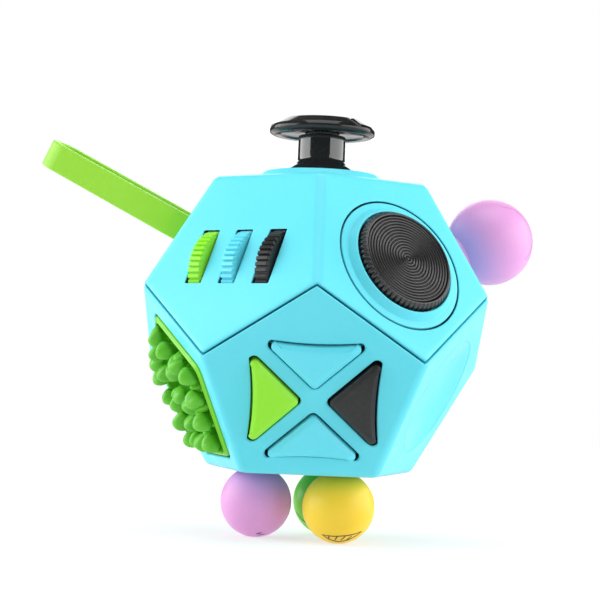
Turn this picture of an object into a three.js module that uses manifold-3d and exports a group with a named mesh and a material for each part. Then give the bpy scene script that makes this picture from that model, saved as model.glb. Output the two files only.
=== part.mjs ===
// Twelve-sided fidget toy, in millimetres, +Z up along the joystick, -Y towards the four-button face.
// Every face has its own frame: x to the right, y up and z outwards as seen from outside, 0 on the face.
import * as THREE from "three";
import { mergeVertices } from "three/addons/utils/BufferGeometryUtils.js";
import { ConvexGeometry } from "three/addons/geometries/ConvexGeometry.js";
import Module from "manifold-3d";

// Body
const EDGE = 20; // edge of the regular dodecahedron
const FACE_DISTANCE = 1.1135163644 * EDGE; // centre to face
const FACE_CORNER = 0.8506508084 * EDGE; // face centre to face corner
const BELT_RADIUS = 1.3763819205 * EDGE; // axis to the zig-zag corners
const BELT_HEIGHT = 0.2628655561 * EDGE; // zig-zag corners above and below the centre
const EDGE_ROUND = 1.8;
const WALL = 2.0;
const GAP = 0.3;
const TILT = THREE.MathUtils.radToDeg(Math.atan(0.5)); // upper and lower faces lean by this much

// Joystick, heights above the top face
const PIVOT = -7;
const DOME_RADIUS = 10.7;
const DOME_THICKNESS = 1.2;
const DOME_HALF_ANGLE = 65;
const DOME_OPENING = 11.2;
const COLLAR_HEIGHT = 1.4;
const COLLAR_TOP = 8.8;
const COLLAR_FOOT = 9.7;
const STEM_RADIUS = 3.7;
const CAP_RADIUS = 8.25;
const CAP_UNDERSIDE = 7.3;
const CAP_TOP = 9.7;
const TAIL_RADIUS = 2.0;
const TAIL_LENGTH = 5.5;
const YOKE_INNER = 4.4;
const YOKE_OUTER = 6.2;
const YOKE_HEIGHT = 2.4;
const TRUNNION_RADIUS = 0.7;

// Ridged wheels
const WHEEL_RADIUS = 6.4;
const WHEEL_WIDTH = 2.4;
const WHEEL_PITCH = 6.2;
const WHEEL_AXIS_DEPTH = 4.95;
const WHEEL_RIDGES = 45;
const RIDGE_DEPTH = 0.35;
const WHEEL_OFFSET = [-0.2, -0.65];
const SLOT_WIDTH = 3.0;
const SLOT_CLEARANCE = 0.28;
const AXLE_RADIUS = 1.0;

// Dial
const DIAL_CENTRE = [0.2, -0.95];
const PANEL_RADIUS = 10.35;
const PANEL_OPENING = 10.65;
const CONE_FOOT = 9.3;
const CONE_TOP = 8.55;
const CONE_BORE = 8.25;
const CONE_HEIGHT = 1.1;
const DIAL_RADIUS = 7.95;
const DIAL_FACE_RADIUS = 7.45;
const DIAL_TOP = 2.1;
const DIAL_TEETH = 60;
const DIAL_SHAFT = 2.0;

// Push buttons
const BUTTON_CENTRE = [0.27, -1.5];
const BUTTON_APEX = 2.0;
const BUTTON_BASE = 9.3;
const BUTTON_HALF_WIDTH = 7.4;
const BUTTON_PROUD = 1.0;
const BUTTON_HOLLOW = 0.5;
const BUTTON_STEM_AT = 6.6;
const BUTTON_STEM_RADIUS = 1.2;
const BUTTON_TRAVEL = 1.2;

// Soft nub pad
const PAD_CORNER = 13.2;
const PAD_ROUND = 1.8;
const PAD_CENTRE = [0, -0.9];
const NUB_TOP = 3.0;

// Strap loop
const STRAP_WIDTH = 4.4;
const STRAP_THICKNESS = 1.2;
const STRAP_HALF_SPAN = 3.6;
const STRAP_TIP = 31.4;
const STRAP_UP = 3.6;
const STRAP_FOOT = 2.2;
const ANCHOR_TOP = 0.6;

// Balls
const LARGE_BALL_RADIUS = 6.84;
const LARGE_BALL_HEIGHT = 10.25;
const LARGE_NECK = 3.6;
const SMALL_BALL_RADIUS = 5.46;
const SMALL_BALL_HEIGHT = 4.93;
const SMALL_BALL_CIRCLE = 7.96;
const SMALL_NECK = 2.3;
const FOOT_RADIUS = 1.0;

// Rocker switch, slider, spinner, thumb dish
const ROCKER_TILT = 8;
const ROCKER_AXIS = -1.6;
const SLIDER_SLOT = 13;
const SLIDER_SLOT_WIDTH = 3.4;
const SPINNER_RADIUS = 9.4;
const THUMB_DISH_RADIUS = 9.5;
const THUMB_DISH_DEPTH = 1.3;

const wasm = await Module();
wasm.setup();

// A closed manifold-3d solid from a geometry, turned the right way out.
function solid(geometry) {
  const bare = geometry.index ? geometry.toNonIndexed() : geometry.clone();
  bare.deleteAttribute("normal");
  bare.deleteAttribute("uv");
  const merged = mergeVertices(bare, 1e-4);
  const vertProperties = merged.getAttribute("position").array;
  const triVerts = new Uint32Array(merged.index.array);
  const made = new wasm.Manifold(new wasm.Mesh({ numProp: 3, vertProperties, triVerts }));
  if (made.volume() >= 0) return made;
  const flipped = new Uint32Array(triVerts.length);
  for (let i = 0; i < triVerts.length; i += 3) {
    flipped[i] = triVerts[i];
    flipped[i + 1] = triVerts[i + 2];
    flipped[i + 2] = triVerts[i + 1];
  }
  return new wasm.Manifold(new wasm.Mesh({ numProp: 3, vertProperties, triVerts: flipped }));
}

function geometryOf(made) {
  const mesh = made.getMesh();
  const positions = new Float32Array(mesh.numVert * 3);
  for (let i = 0; i < mesh.numVert; i += 1) {
    const at = i * mesh.numProp;
    positions.set(mesh.vertProperties.subarray(at, at + 3), i * 3);
  }
  const geometry = new THREE.BufferGeometry();
  geometry.setAttribute("position", new THREE.BufferAttribute(positions, 3));
  geometry.setIndex(new THREE.BufferAttribute(mesh.triVerts, 1));
  const flat = geometry.toNonIndexed();
  flat.computeVertexNormals();
  return flat;
}

const joined = (...solids) => solids.reduce((whole, next) => whole.add(next));
const cut = (whole, ...tools) => tools.reduce((left, tool) => left.subtract(tool), whole);

// A revolved profile of [radius, z] pairs about the local z axis.
function turned(profile, segments = 40) {
  const points = profile.map(([radius, z]) => new THREE.Vector2(radius, z));
  return solid(new THREE.LatheGeometry(points, segments).rotateX(Math.PI / 2));
}

// A cylinder along the local z axis from one height to another, centred on [x, y].
function rod(radius, from, to, at = [0, 0], segments = 32) {
  const geometry = new THREE.CylinderGeometry(radius, radius, to - from, segments);
  return solid(geometry.rotateX(Math.PI / 2).translate(at[0], at[1], (from + to) / 2));
}

// A cylinder along x or y, centred on a point.
function crossRod(radius, length, along, at, segments = 24) {
  const geometry = new THREE.CylinderGeometry(radius, radius, length, segments);
  if (along === "x") geometry.rotateZ(Math.PI / 2);
  return solid(geometry.translate(...at));
}

function block(size, at) {
  return solid(new THREE.BoxGeometry(...size).translate(...at));
}

function sphere(radius, at, segments = 40) {
  return solid(new THREE.SphereGeometry(radius, segments, segments / 2).translate(...at));
}

// Corner points of a polygon with each corner rounded.
function roundedCorners(corners, radius, steps = 4) {
  const points = [];
  corners.forEach((corner, i) => {
    const before = corners[(i + corners.length - 1) % corners.length];
    const after = corners[(i + 1) % corners.length];
    const a = new THREE.Vector2(...before).sub(new THREE.Vector2(...corner)).normalize();
    const b = new THREE.Vector2(...after).sub(new THREE.Vector2(...corner)).normalize();
    const half = Math.acos(THREE.MathUtils.clamp(a.dot(b), -1, 1)) / 2;
    const towards = a.clone().add(b).normalize();
    const centre = new THREE.Vector2(...corner).addScaledVector(towards, radius / Math.sin(half));
    const start = new THREE.Vector2(...corner).addScaledVector(a, radius / Math.tan(half)).sub(centre);
    const end = new THREE.Vector2(...corner).addScaledVector(b, radius / Math.tan(half)).sub(centre);
    const sweep = Math.atan2(start.cross(end), start.dot(end));
    for (let k = 0; k <= steps; k += 1) {
      const angle = start.angle() + (sweep * k) / steps;
      points.push([centre.x + radius * Math.cos(angle), centre.y + radius * Math.sin(angle)]);
    }
  });
  return points;
}

function outline(points) {
  return new THREE.Shape(points.map(([x, y]) => new THREE.Vector2(x, y)));
}

// A prism of the outline between two heights, with an optional rounded rim at both ends.
function prism(points, from, to, rim = 0) {
  const geometry = new THREE.ExtrudeGeometry(outline(points), {
    depth: to - from - 2 * rim,
    bevelEnabled: rim > 0,
    bevelThickness: rim,
    bevelSize: rim,
    bevelOffset: -rim,
    bevelSegments: 2,
  });
  return solid(geometry.translate(0, 0, from + rim));
}

function rectangle(width, height, at = [0, 0], radius = 0.5) {
  const [x, y] = at;
  const corners = [
    [x - width / 2, y - height / 2],
    [x + width / 2, y - height / 2],
    [x + width / 2, y + height / 2],
    [x - width / 2, y + height / 2],
  ];
  return roundedCorners(corners, radius, 3);
}

function pentagon(cornerRadius, round, up, at = [0, 0]) {
  const corners = [];
  for (let k = 0; k < 5; k += 1) {
    const angle = (up ? 90 : -90) + 72 * k;
    const radians = THREE.MathUtils.degToRad(angle);
    corners.push([
      at[0] + cornerRadius * Math.cos(radians),
      at[1] + cornerRadius * Math.sin(radians),
    ]);
  }
  return roundedCorners(corners, round, 5);
}

const around = (count, turn) => Array.from({ length: count }, (_, k) => turn(k));

// A coil spring along z between two heights.
function coil(radius, wire, from, to, turns, at = [0, 0]) {
  const steps = Math.round(turns * 10);
  const path = new THREE.CatmullRomCurve3(
    around(steps + 1, (k) => {
      const angle = (2 * Math.PI * turns * k) / steps;
      const z = from + wire + ((to - from - 2 * wire) * k) / steps;
      return new THREE.Vector3(at[0] + radius * Math.cos(angle), at[1] + radius * Math.sin(angle), z);
    }),
  );
  const section = new THREE.Shape(
    around(5, (k) => {
      const angle = (2 * Math.PI * k) / 5;
      return new THREE.Vector2(wire * Math.cos(angle), wire * Math.sin(angle));
    }),
  );
  return solid(new THREE.ExtrudeGeometry(section, { steps, bevelEnabled: false, extrudePath: path }));
}

// Face frames
function faceMatrix(azimuth, elevation) {
  const a = THREE.MathUtils.degToRad(azimuth);
  const e = THREE.MathUtils.degToRad(elevation);
  const normal = new THREE.Vector3(Math.cos(e) * Math.sin(a), -Math.cos(e) * Math.cos(a), Math.sin(e));
  const right = new THREE.Vector3(Math.cos(a), Math.sin(a), 0);
  const up = new THREE.Vector3().crossVectors(normal, right);
  const matrix = new THREE.Matrix4().makeBasis(right, up, normal);
  return matrix.setPosition(normal.multiplyScalar(FACE_DISTANCE));
}

const FACES = {
  joystick: faceMatrix(0, 90),
  wheels: faceMatrix(-36, TILT),
  dial: faceMatrix(36, TILT),
  ball: faceMatrix(108, TILT),
  strap: faceMatrix(-108, TILT),
  rocker: faceMatrix(180, TILT),
  buttons: faceMatrix(0, -TILT),
  nubs: faceMatrix(-72, -TILT),
  thumb: faceMatrix(72, -TILT),
  slider: faceMatrix(144, -TILT),
  spinner: faceMatrix(-144, -TILT),
  feet: faceMatrix(0, -90),
};
const onFace = (face, made) => made.transform(FACES[face].elements);

// Corners of the dodecahedron for a given distance from centre to face
function bodyCorners(faceDistance) {
  const scale = faceDistance / FACE_DISTANCE;
  const ring = (radius, z, start) =>
    around(5, (k) => {
      const azimuth = THREE.MathUtils.degToRad(start + 72 * k);
      return new THREE.Vector3(radius * Math.sin(azimuth), -radius * Math.cos(azimuth), z);
    });
  return [
    ...ring(FACE_CORNER, FACE_DISTANCE, 0),
    ...ring(BELT_RADIUS, BELT_HEIGHT, 0),
    ...ring(BELT_RADIUS, -BELT_HEIGHT, 36),
    ...ring(FACE_CORNER, -FACE_DISTANCE, 36),
  ].map((corner) => corner.multiplyScalar(scale));
}

// The body with rounded edges: the hull of small rounded corners
function roundedBody() {
  const normals = Object.values(FACES).map((m) => new THREE.Vector3().setFromMatrixColumn(m, 2));
  const points = [];
  bodyCorners(FACE_DISTANCE - EDGE_ROUND).forEach((corner) => {
    const meeting = [...normals].sort((a, b) => b.dot(corner) - a.dot(corner)).slice(0, 3);
    const directions = [...meeting];
    [[0, 1], [1, 2], [2, 0]].forEach(([i, j]) => {
      [1 / 3, 2 / 3].forEach((share) => {
        directions.push(meeting[i].clone().lerp(meeting[j], share).normalize());
      });
    });
    directions.push(meeting[0].clone().add(meeting[1]).add(meeting[2]).normalize());
    directions.forEach((d) => points.push(corner.clone().addScaledVector(d, EDGE_ROUND)));
  });
  return solid(new ConvexGeometry(points));
}

// Everything above (side 1) or below (side -1) the zig-zag belt, less half the parting gap
function beltHalf(side) {
  const shift = (side * GAP) / 2;
  const far = side * 60;
  const belt = around(10, (k) => {
    const azimuth = THREE.MathUtils.degToRad(36 * k);
    const z = (k % 2 === 0 ? 1 : -1) * BELT_HEIGHT * 2;
    return [BELT_RADIUS * 2 * Math.sin(azimuth), -BELT_RADIUS * 2 * Math.cos(azimuth), z + shift];
  });
  const positions = [];
  const triangle = (a, b, c) => positions.push(...a, ...b, ...c);
  belt.forEach((here, k) => {
    const next = belt[(k + 1) % 10];
    const hereFar = [here[0], here[1], far];
    const nextFar = [next[0], next[1], far];
    triangle([0, 0, shift], next, here);
    triangle(here, next, nextFar);
    triangle(here, nextFar, hereFar);
    triangle([0, 0, far], hereFar, nextFar);
  });
  const geometry = new THREE.BufferGeometry();
  geometry.setAttribute("position", new THREE.Float32BufferAttribute(positions, 3));
  return solid(geometry);
}

// Materials
const skin = (color, roughness, metalness = 0) =>
  new THREE.MeshStandardMaterial({ color, roughness, metalness });
const AQUA = 0x74e4ee;
const BLACK = 0x141617;
const STEEL = 0xb9bcc0;

const toy = new THREE.Group();
toy.name = "fidget_toy";
const groups = {};
Object.entries(FACES).forEach(([face, matrix]) => {
  const group = new THREE.Group();
  group.name = face + "_face";
  matrix.decompose(group.position, group.quaternion, group.scale);
  groups[face] = group;
  toy.add(group);
});

function piece(name, made, material, parent = toy) {
  const mesh = new THREE.Mesh(geometryOf(made), material);
  mesh.name = name;
  parent.add(mesh);
}

// Push button outline in its own frame: point of the triangle towards the centre, base outwards
const SIDE_SLOPE = BUTTON_HALF_WIDTH / (BUTTON_BASE - BUTTON_APEX);
function buttonOutline(grow) {
  const halfAngle = Math.atan(SIDE_SLOPE);
  const apex = BUTTON_APEX - grow / Math.sin(halfAngle);
  const base = BUTTON_BASE + grow;
  const half = (base - apex) * SIDE_SLOPE;
  const rounded = roundedCorners([[0, apex], [half, base], [-half, base]], 0.7 + grow * 0.5, 2);
  const hollow = [0.55, 0, -0.55].map((x) => [x * half, base - BUTTON_HOLLOW * (1 - x * x)]);
  return [...rounded.slice(0, 6), ...hollow, ...rounded.slice(6)];
}
const BUTTONS = { top: 0, left: 90, bottom: 180, right: 270 };
function turnedButton(made, degrees) {
  return made.rotate([0, 0, degrees]).translate([BUTTON_CENTRE[0], BUTTON_CENTRE[1], 0]);
}

// Shells
const hollowBody = cut(roundedBody(), solid(new ConvexGeometry(bodyCorners(FACE_DISTANCE - WALL))));
const wheelX = [-1, 0, 1].map((k) => WHEEL_OFFSET[0] + k * WHEEL_PITCH);
const wheelSlots = wheelX.map((x) =>
  crossRod(WHEEL_RADIUS + SLOT_CLEARANCE, SLOT_WIDTH, "x", [x, WHEEL_OFFSET[1], -WHEEL_AXIS_DEPTH], 36),
);
const upperCuts = [
  onFace("joystick", sphere(DOME_OPENING, [0, 0, PIVOT], 36)),
  ...wheelSlots.map((slot) => onFace("wheels", slot)),
  onFace("dial", rod(PANEL_OPENING, -4, 2, DIAL_CENTRE, 48)),
  onFace("ball", rod(LARGE_NECK + GAP, -4, 2, [0, 0.4], 32)),
  onFace("strap", prism(rectangle(7, 5, [0, STRAP_UP]), -4, 2)),
  onFace("rocker", joined(
    prism(rectangle(8.6, 12.6), -4, 2),
    prism(rectangle(10.2, 14.2, [0, 0], 1.5), -0.8, 2),
  )),
];
const collar = onFace("joystick", turned([
  [0, -1], [COLLAR_FOOT, -1], [COLLAR_FOOT, 0], [COLLAR_TOP, COLLAR_HEIGHT], [0, COLLAR_HEIGHT],
], 48));
piece(
  "upper_shell",
  cut(joined(hollowBody.intersect(beltHalf(1)), collar), ...upperCuts),
  skin(AQUA, 0.34),
);

const ballAngles = { pink: 186, yellow: 306, green: 66 };
const ballAt = (name) => {
  const angle = THREE.MathUtils.degToRad(ballAngles[name]);
  return [SMALL_BALL_CIRCLE * Math.cos(angle), -SMALL_BALL_CIRCLE * Math.sin(angle)];
};
const dishRadius = (THUMB_DISH_RADIUS ** 2 + THUMB_DISH_DEPTH ** 2) / (2 * THUMB_DISH_DEPTH);
const lowerCuts = [
  ...Object.values(BUTTONS).map((degrees) =>
    onFace("buttons", turnedButton(prism(buttonOutline(GAP), -4, 2), degrees)),
  ),
  onFace("nubs", prism(pentagon(PAD_CORNER, PAD_ROUND, true, PAD_CENTRE), -4, 2)),
  onFace("thumb", sphere(dishRadius, [0, 0, dishRadius - THUMB_DISH_DEPTH], 64)),
  onFace("slider", prism(rectangle(SLIDER_SLOT, SLIDER_SLOT_WIDTH, [0, 0], 1.6), -4, 2)),
  onFace("spinner", rod(PANEL_OPENING, -4, 2, [0, 0], 48)),
  ...Object.keys(ballAngles).map((name) => {
    const [x, y] = ballAt(name);
    const seat = sphere(SMALL_BALL_RADIUS + GAP, [x, y, SMALL_BALL_HEIGHT], 24);
    return onFace("feet", joined(seat, rod(SMALL_NECK + GAP, -4, 2, [x, y], 24)));
  }),
];
const thumbBacking = onFace("thumb", rod(THUMB_DISH_RADIUS + 1, -3.2, -1.8, [0, 0], 40));
piece(
  "lower_shell",
  cut(joined(hollowBody.intersect(beltHalf(-1)), thumbBacking), ...lowerCuts),
  skin(AQUA, 0.34),
);

// Joystick
piece(
  "joystick_cap",
  cut(
    turned([
      [0, 8.75], [3.2, 8.85], [5.2, 9.3], [5.9, CAP_TOP], [6.4, CAP_TOP], [7.9, 8.7],
      [CAP_RADIUS, 8.15], [8.1, 7.6], [7.6, CAP_UNDERSIDE], [6.4, 7.4], [4.3, 7.7], [2.7, 7.7],
      [2.7, 8.3], [0, 8.3],
    ], 32),
    ...around(6, (k) => {
      const angle = (k * Math.PI) / 3 + Math.PI / 6;
      return rod(0.35, 7, 10, [8.35 * Math.cos(angle), 8.35 * Math.sin(angle)], 8);
    }),
  ),
  skin(BLACK, 0.3),
  groups.joystick,
);
const domeArc = (radius, from, to, steps) =>
  around(steps + 1, (k) => {
    const angle = THREE.MathUtils.degToRad(from + ((to - from) * k) / steps);
    return [radius * Math.sin(angle), PIVOT + radius * Math.cos(angle)];
  });
piece(
  "joystick_stem",
  joined(
    turned([
      [0, 8.0], [2.4, 8.0], [2.4, CAP_UNDERSIDE], [STEM_RADIUS, CAP_UNDERSIDE], [STEM_RADIUS, 3.6],
      [3.95, 3.2],
      ...domeArc(DOME_RADIUS, 24, DOME_HALF_ANGLE, 6),
      ...domeArc(DOME_RADIUS - DOME_THICKNESS, DOME_HALF_ANGLE, 13, 5),
      [TAIL_RADIUS, 0.5], [TAIL_RADIUS, PIVOT - TAIL_LENGTH], [0, PIVOT - TAIL_LENGTH],
    ], 28),
    crossRod(TRUNNION_RADIUS, 2 * (YOKE_OUTER - 0.4), "y", [0, 0, PIVOT], 16),
  ),
  skin(BLACK, 0.22),
  groups.joystick,
);
const yokeRing = turned([
  [YOKE_INNER, PIVOT - YOKE_HEIGHT / 2], [YOKE_OUTER, PIVOT - YOKE_HEIGHT / 2],
  [YOKE_OUTER, PIVOT + YOKE_HEIGHT / 2], [YOKE_INNER, PIVOT + YOKE_HEIGHT / 2],
  [YOKE_INNER, PIVOT - YOKE_HEIGHT / 2],
], 32);
piece(
  "joystick_yoke",
  cut(
    joined(
      yokeRing,
      crossRod(TRUNNION_RADIUS, 6, "x", [8.4, 0, PIVOT], 16),
      crossRod(TRUNNION_RADIUS, 6, "x", [-8.4, 0, PIVOT], 16),
    ),
    crossRod(TRUNNION_RADIUS + GAP, 20, "y", [0, 0, PIVOT], 16),
  ),
  skin(0xd8dadc, 0.5),
  groups.joystick,
);
piece(
  "joystick_housing",
  cut(
    turned([
      [10.9, -2.3], [11.9, -2.3], [11.9, -8.0], [8.8, -10.6], [6.8, -11.0], [6.8, -17.7], [0, -17.7],
      [0, -16.9], [6.0, -16.9], [6.0, -10.4], [8.4, -9.8], [10.9, -7.9], [10.9, -2.3],
    ], 28),
    crossRod(TRUNNION_RADIUS + GAP, 40, "x", [0, 0, PIVOT], 16),
  ),
  skin(0xd8dadc, 0.5),
  groups.joystick,
);
piece(
  "joystick_washer",
  rod(5.6, -14.0, -13.2, [0, 0], 32),
  skin(0xd8dadc, 0.5),
  groups.joystick,
);
piece("joystick_spring", coil(3.6, 0.3, -16.6, -14.3, 2.5), skin(STEEL, 0.3, 1), groups.joystick);

// Ridged wheels on one axle
function ridgedWheel() {
  const rim = [];
  for (let k = 0; k < WHEEL_RIDGES; k += 1) {
    [[0, -RIDGE_DEPTH], [0.5, 0]].forEach(([part, rise]) => {
      const angle = (2 * Math.PI * (k + part)) / WHEEL_RIDGES;
      rim.push([(WHEEL_RADIUS + rise) * Math.cos(angle), (WHEEL_RADIUS + rise) * Math.sin(angle)]);
    });
  }
  const disc = prism(rim, -WHEEL_WIDTH / 2, WHEEL_WIDTH / 2);
  return cut(disc, rod(AXLE_RADIUS + GAP, -3, 3, [0, 0], 16)).rotate([0, 90, 0]);
}
const wheelColours = { green: 0x9af03c, blue: 0x86dcf2, black: 0x202325 };
Object.entries(wheelColours).forEach(([colour, hex], i) => {
  const centre = [wheelX[i], WHEEL_OFFSET[1], -WHEEL_AXIS_DEPTH];
  piece("gear_wheel_" + colour, ridgedWheel().translate(centre), skin(hex, 0.35), groups.wheels);
});
const [wheelMidX, wheelMidY] = WHEEL_OFFSET;
piece(
  "gear_axle",
  crossRod(AXLE_RADIUS, 18.4, "x", [wheelMidX, wheelMidY, -WHEEL_AXIS_DEPTH], 24),
  skin(STEEL, 0.3, 1),
  groups.wheels,
);
const bracketEnd = (side) =>
  cut(
    block([1.2, 4.4, 11], [wheelMidX + side * 8.6, wheelMidY, -7.8]),
    crossRod(AXLE_RADIUS + GAP, 4, "x", [wheelMidX + side * 8.6, wheelMidY, -WHEEL_AXIS_DEPTH], 24),
  );
piece(
  "gear_bracket",
  joined(bracketEnd(-1), bracketEnd(1), block([18.4, 4.4, 0.9], [wheelMidX, wheelMidY, -12.85])),
  skin(0xd8dadc, 0.5),
  groups.wheels,
);
piece(
  "gear_detent_spring",
  block([15.4, 3.2, 0.3], [wheelMidX, wheelMidY, -11.95]),
  skin(STEEL, 0.3, 1),
  groups.wheels,
);

// Dial and its panel
const [dialX, dialY] = DIAL_CENTRE;
const atDial = (made) => made.translate([dialX, dialY, 0]);
piece(
  "dial_panel",
  atDial(turned([
    [DIAL_SHAFT + GAP, -3.2], [11.4, -3.2], [11.4, -2.4], [PANEL_RADIUS, -2.3], [PANEL_RADIUS, 0],
    [CONE_FOOT, 0], [CONE_TOP, CONE_HEIGHT], [CONE_BORE, CONE_HEIGHT], [CONE_BORE, -0.4],
    [DIAL_SHAFT + GAP, -0.4], [DIAL_SHAFT + GAP, -3.2],
  ], 48)),
  skin(0x7aeaf2, 0.3),
  groups.dial,
);
function knurledDial() {
  const rim = [];
  for (let k = 0; k < DIAL_TEETH; k += 1) {
    [[0, -0.25], [0.5, 0]].forEach(([part, rise]) => {
      const angle = (2 * Math.PI * (k + part)) / DIAL_TEETH;
      rim.push([(DIAL_RADIUS + rise) * Math.cos(angle), (DIAL_RADIUS + rise) * Math.sin(angle)]);
    });
  }
  const bevel = turned([
    [0, -1], [DIAL_RADIUS + 1, -1], [DIAL_RADIUS + 1, 1.2], [DIAL_RADIUS, 1.5],
    [DIAL_FACE_RADIUS, DIAL_TOP], [0, DIAL_TOP],
  ], 60);
  return cut(
    joined(prism(rim, 0, DIAL_TOP).intersect(bevel), rod(DIAL_SHAFT, -6.2, 0.2, [0, 0], 32)),
    turned([[0, 1.85], [6.8, 1.85], [6.8, 3], [0, 3]], 48),
  );
}
piece("dial", atDial(knurledDial()), skin(0x1b1d1e, 0.45), groups.dial);
piece(
  "dial_clip",
  atDial(turned([
    [DIAL_SHAFT + GAP, -4.8], [3.8, -4.8], [3.8, -3.9], [DIAL_SHAFT + GAP, -3.9],
    [DIAL_SHAFT + GAP, -4.8],
  ], 32)),
  skin(STEEL, 0.3, 1),
  groups.dial,
);

// Push buttons, springs and the plate behind them
const buttonColours = { top: 0x6fdcf0, left: 0x99ef3a, bottom: 0x6fdcf0, right: 0x2e3133 };
const flangeTop = -WALL - GAP;
const flangeBottom = flangeTop - 0.8;
const plateTop = flangeBottom - 3.6;
Object.entries(BUTTONS).forEach(([where, degrees]) => {
  const button = joined(
    prism(buttonOutline(0), flangeBottom, BUTTON_PROUD, 0.4),
    prism(buttonOutline(0.7), flangeBottom, flangeTop),
    rod(BUTTON_STEM_RADIUS, plateTop + 0.1, flangeBottom + 0.2, [0, BUTTON_STEM_AT], 20),
  );
  piece("button_" + where, turnedButton(button, degrees), skin(buttonColours[where], 0.35), groups.buttons);
  const spring = coil(
    1.95, 0.22, plateTop + GAP, flangeBottom - BUTTON_TRAVEL - GAP, 2.5, [0, BUTTON_STEM_AT],
  );
  piece("button_spring_" + where, turnedButton(spring, degrees), skin(STEEL, 0.3, 1), groups.buttons);
});
const dividerHeight = flangeTop - plateTop;
const dividers = [45, 135].map((degrees) =>
  block([0.6, 17.4, dividerHeight + 0.4], [0, 0, plateTop + dividerHeight / 2 - 0.2])
    .rotate([0, 0, degrees]),
);
const plateHoles = Object.values(BUTTONS).map((degrees) =>
  rod(BUTTON_STEM_RADIUS + GAP, plateTop - 2, plateTop + 1, [0, BUTTON_STEM_AT], 20).rotate([0, 0, degrees]),
);
piece(
  "button_plate",
  cut(joined(rod(8.7, plateTop - 1, plateTop, [0, 0], 40), ...dividers), ...plateHoles)
    .translate([BUTTON_CENTRE[0], BUTTON_CENTRE[1], 0]),
  skin(0xd8dadc, 0.5),
  groups.buttons,
);

// Soft nub pad
const nubs = [[0, 0, 0], [7, 3.8, 0], [13, 7.3, 9]].flatMap(([count, radius, start]) =>
  around(Math.max(count, 1), (k) => {
    const angle = THREE.MathUtils.degToRad(90 + start + (360 * k) / Math.max(count, 1));
    return [radius * Math.cos(angle), radius * Math.sin(angle) + PAD_CENTRE[1]];
  }),
);
const padBody = cut(
  joined(
    prism(pentagon(PAD_CORNER - GAP / 0.8, PAD_ROUND, true, PAD_CENTRE), -3.2, 0.2),
    prism(pentagon(PAD_CORNER + 1, PAD_ROUND, true, PAD_CENTRE), -3.2, flangeTop),
  ),
  prism(pentagon(PAD_CORNER - 2, 1.6, true, PAD_CENTRE), -1.6, 2),
);
const nub = turned([[0, -1.8], [1.45, -1.8], [1.15, 1.8], [0.8, 2.7], [0, NUB_TOP]], 8);
piece(
  "bristle_pad",
  joined(padBody, ...nubs.map(([x, y]) => nub.translate([x, y, 0]))),
  skin(0x57b542, 0.5),
  groups.nubs,
);
piece(
  "bristle_retainer",
  cut(
    prism(pentagon(12.9, 3, true), -4.5, -3.5),
    prism(pentagon(10.2, 2.6, true), -5, -3),
  ),
  skin(0xd8dadc, 0.5),
  groups.nubs,
);

// Strap loop: a flat band along the face normal, its width up and down the face
function strapShape(inset) {
  const half = STRAP_HALF_SPAN - inset;
  const tip = STRAP_TIP - STRAP_HALF_SPAN;
  const arc = around(13, (k) => {
    const angle = (Math.PI * k) / 12;
    return [half * Math.cos(angle), tip + half * Math.sin(angle)];
  });
  const foot = 2.6 - inset;
  return [[-foot, STRAP_FOOT + inset * 1.2], [foot, STRAP_FOOT + inset * 1.2], ...arc];
}
// The loop lies in the x, z plane of the face and the band is wide along y
const upright = (made) => made.rotate([90, 0, 0]);
const strapOuter = upright(prism(strapShape(0), -STRAP_WIDTH / 2, STRAP_WIDTH / 2));
const strapInner = upright(prism(strapShape(STRAP_THICKNESS), -STRAP_WIDTH, STRAP_WIDTH));
piece(
  "strap_loop",
  cut(strapOuter, strapInner).translate([0, STRAP_UP, 0]),
  skin(0x9bd84a, 0.45),
  groups.strap,
);
piece(
  "strap_anchor",
  joined(
    prism(rectangle(6.4, STRAP_WIDTH, [0, STRAP_UP]), -3.4, ANCHOR_TOP),
    prism(rectangle(9.4, 6.8, [0, STRAP_UP]), -3.4, flangeTop),
  ),
  skin(0x9bd84a, 0.45),
  groups.strap,
);

// Balls
const ballArc = (radius, height, from, to, steps) =>
  around(steps + 1, (k) => {
    const angle = THREE.MathUtils.degToRad(from + ((to - from) * k) / steps);
    return [radius * Math.sin(angle), height + radius * Math.cos(angle)];
  });
const neckAngle = (neck, radius) => 180 - THREE.MathUtils.radToDeg(Math.asin(neck / radius));
piece(
  "large_ball",
  turned([
    [0, LARGE_BALL_HEIGHT + LARGE_BALL_RADIUS],
    ...ballArc(LARGE_BALL_RADIUS, LARGE_BALL_HEIGHT, 10, neckAngle(LARGE_NECK, LARGE_BALL_RADIUS), 10),
    [LARGE_NECK, flangeTop], [5.2, flangeTop], [5.2, flangeTop - 1], [0, flangeTop - 1],
  ], 28).translate([0, 0.4, 0]),
  skin(0xe0a2df, 0.42),
  groups.ball,
);
const smallColours = { pink: 0xf06fae, yellow: 0xfdf64c, green: 0x5cc24a };
const footAngle = THREE.MathUtils.radToDeg(Math.asin(FOOT_RADIUS / SMALL_BALL_RADIUS));
Object.entries(smallColours).forEach(([colour, hex]) => {
  const [x, y] = ballAt(colour);
  const profile = [
    [0, SMALL_BALL_HEIGHT + SMALL_BALL_RADIUS * Math.cos(THREE.MathUtils.degToRad(footAngle))],
    ...ballArc(
      SMALL_BALL_RADIUS, SMALL_BALL_HEIGHT, footAngle, neckAngle(SMALL_NECK, SMALL_BALL_RADIUS), 8,
    ),
    [SMALL_NECK, flangeTop], [3.4, flangeTop], [3.4, flangeTop - 1], [0, flangeTop - 1],
  ];
  piece("ball_" + colour, turned(profile, 24).translate([x, y, 0]), skin(hex, 0.42), groups.feet);
});

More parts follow.
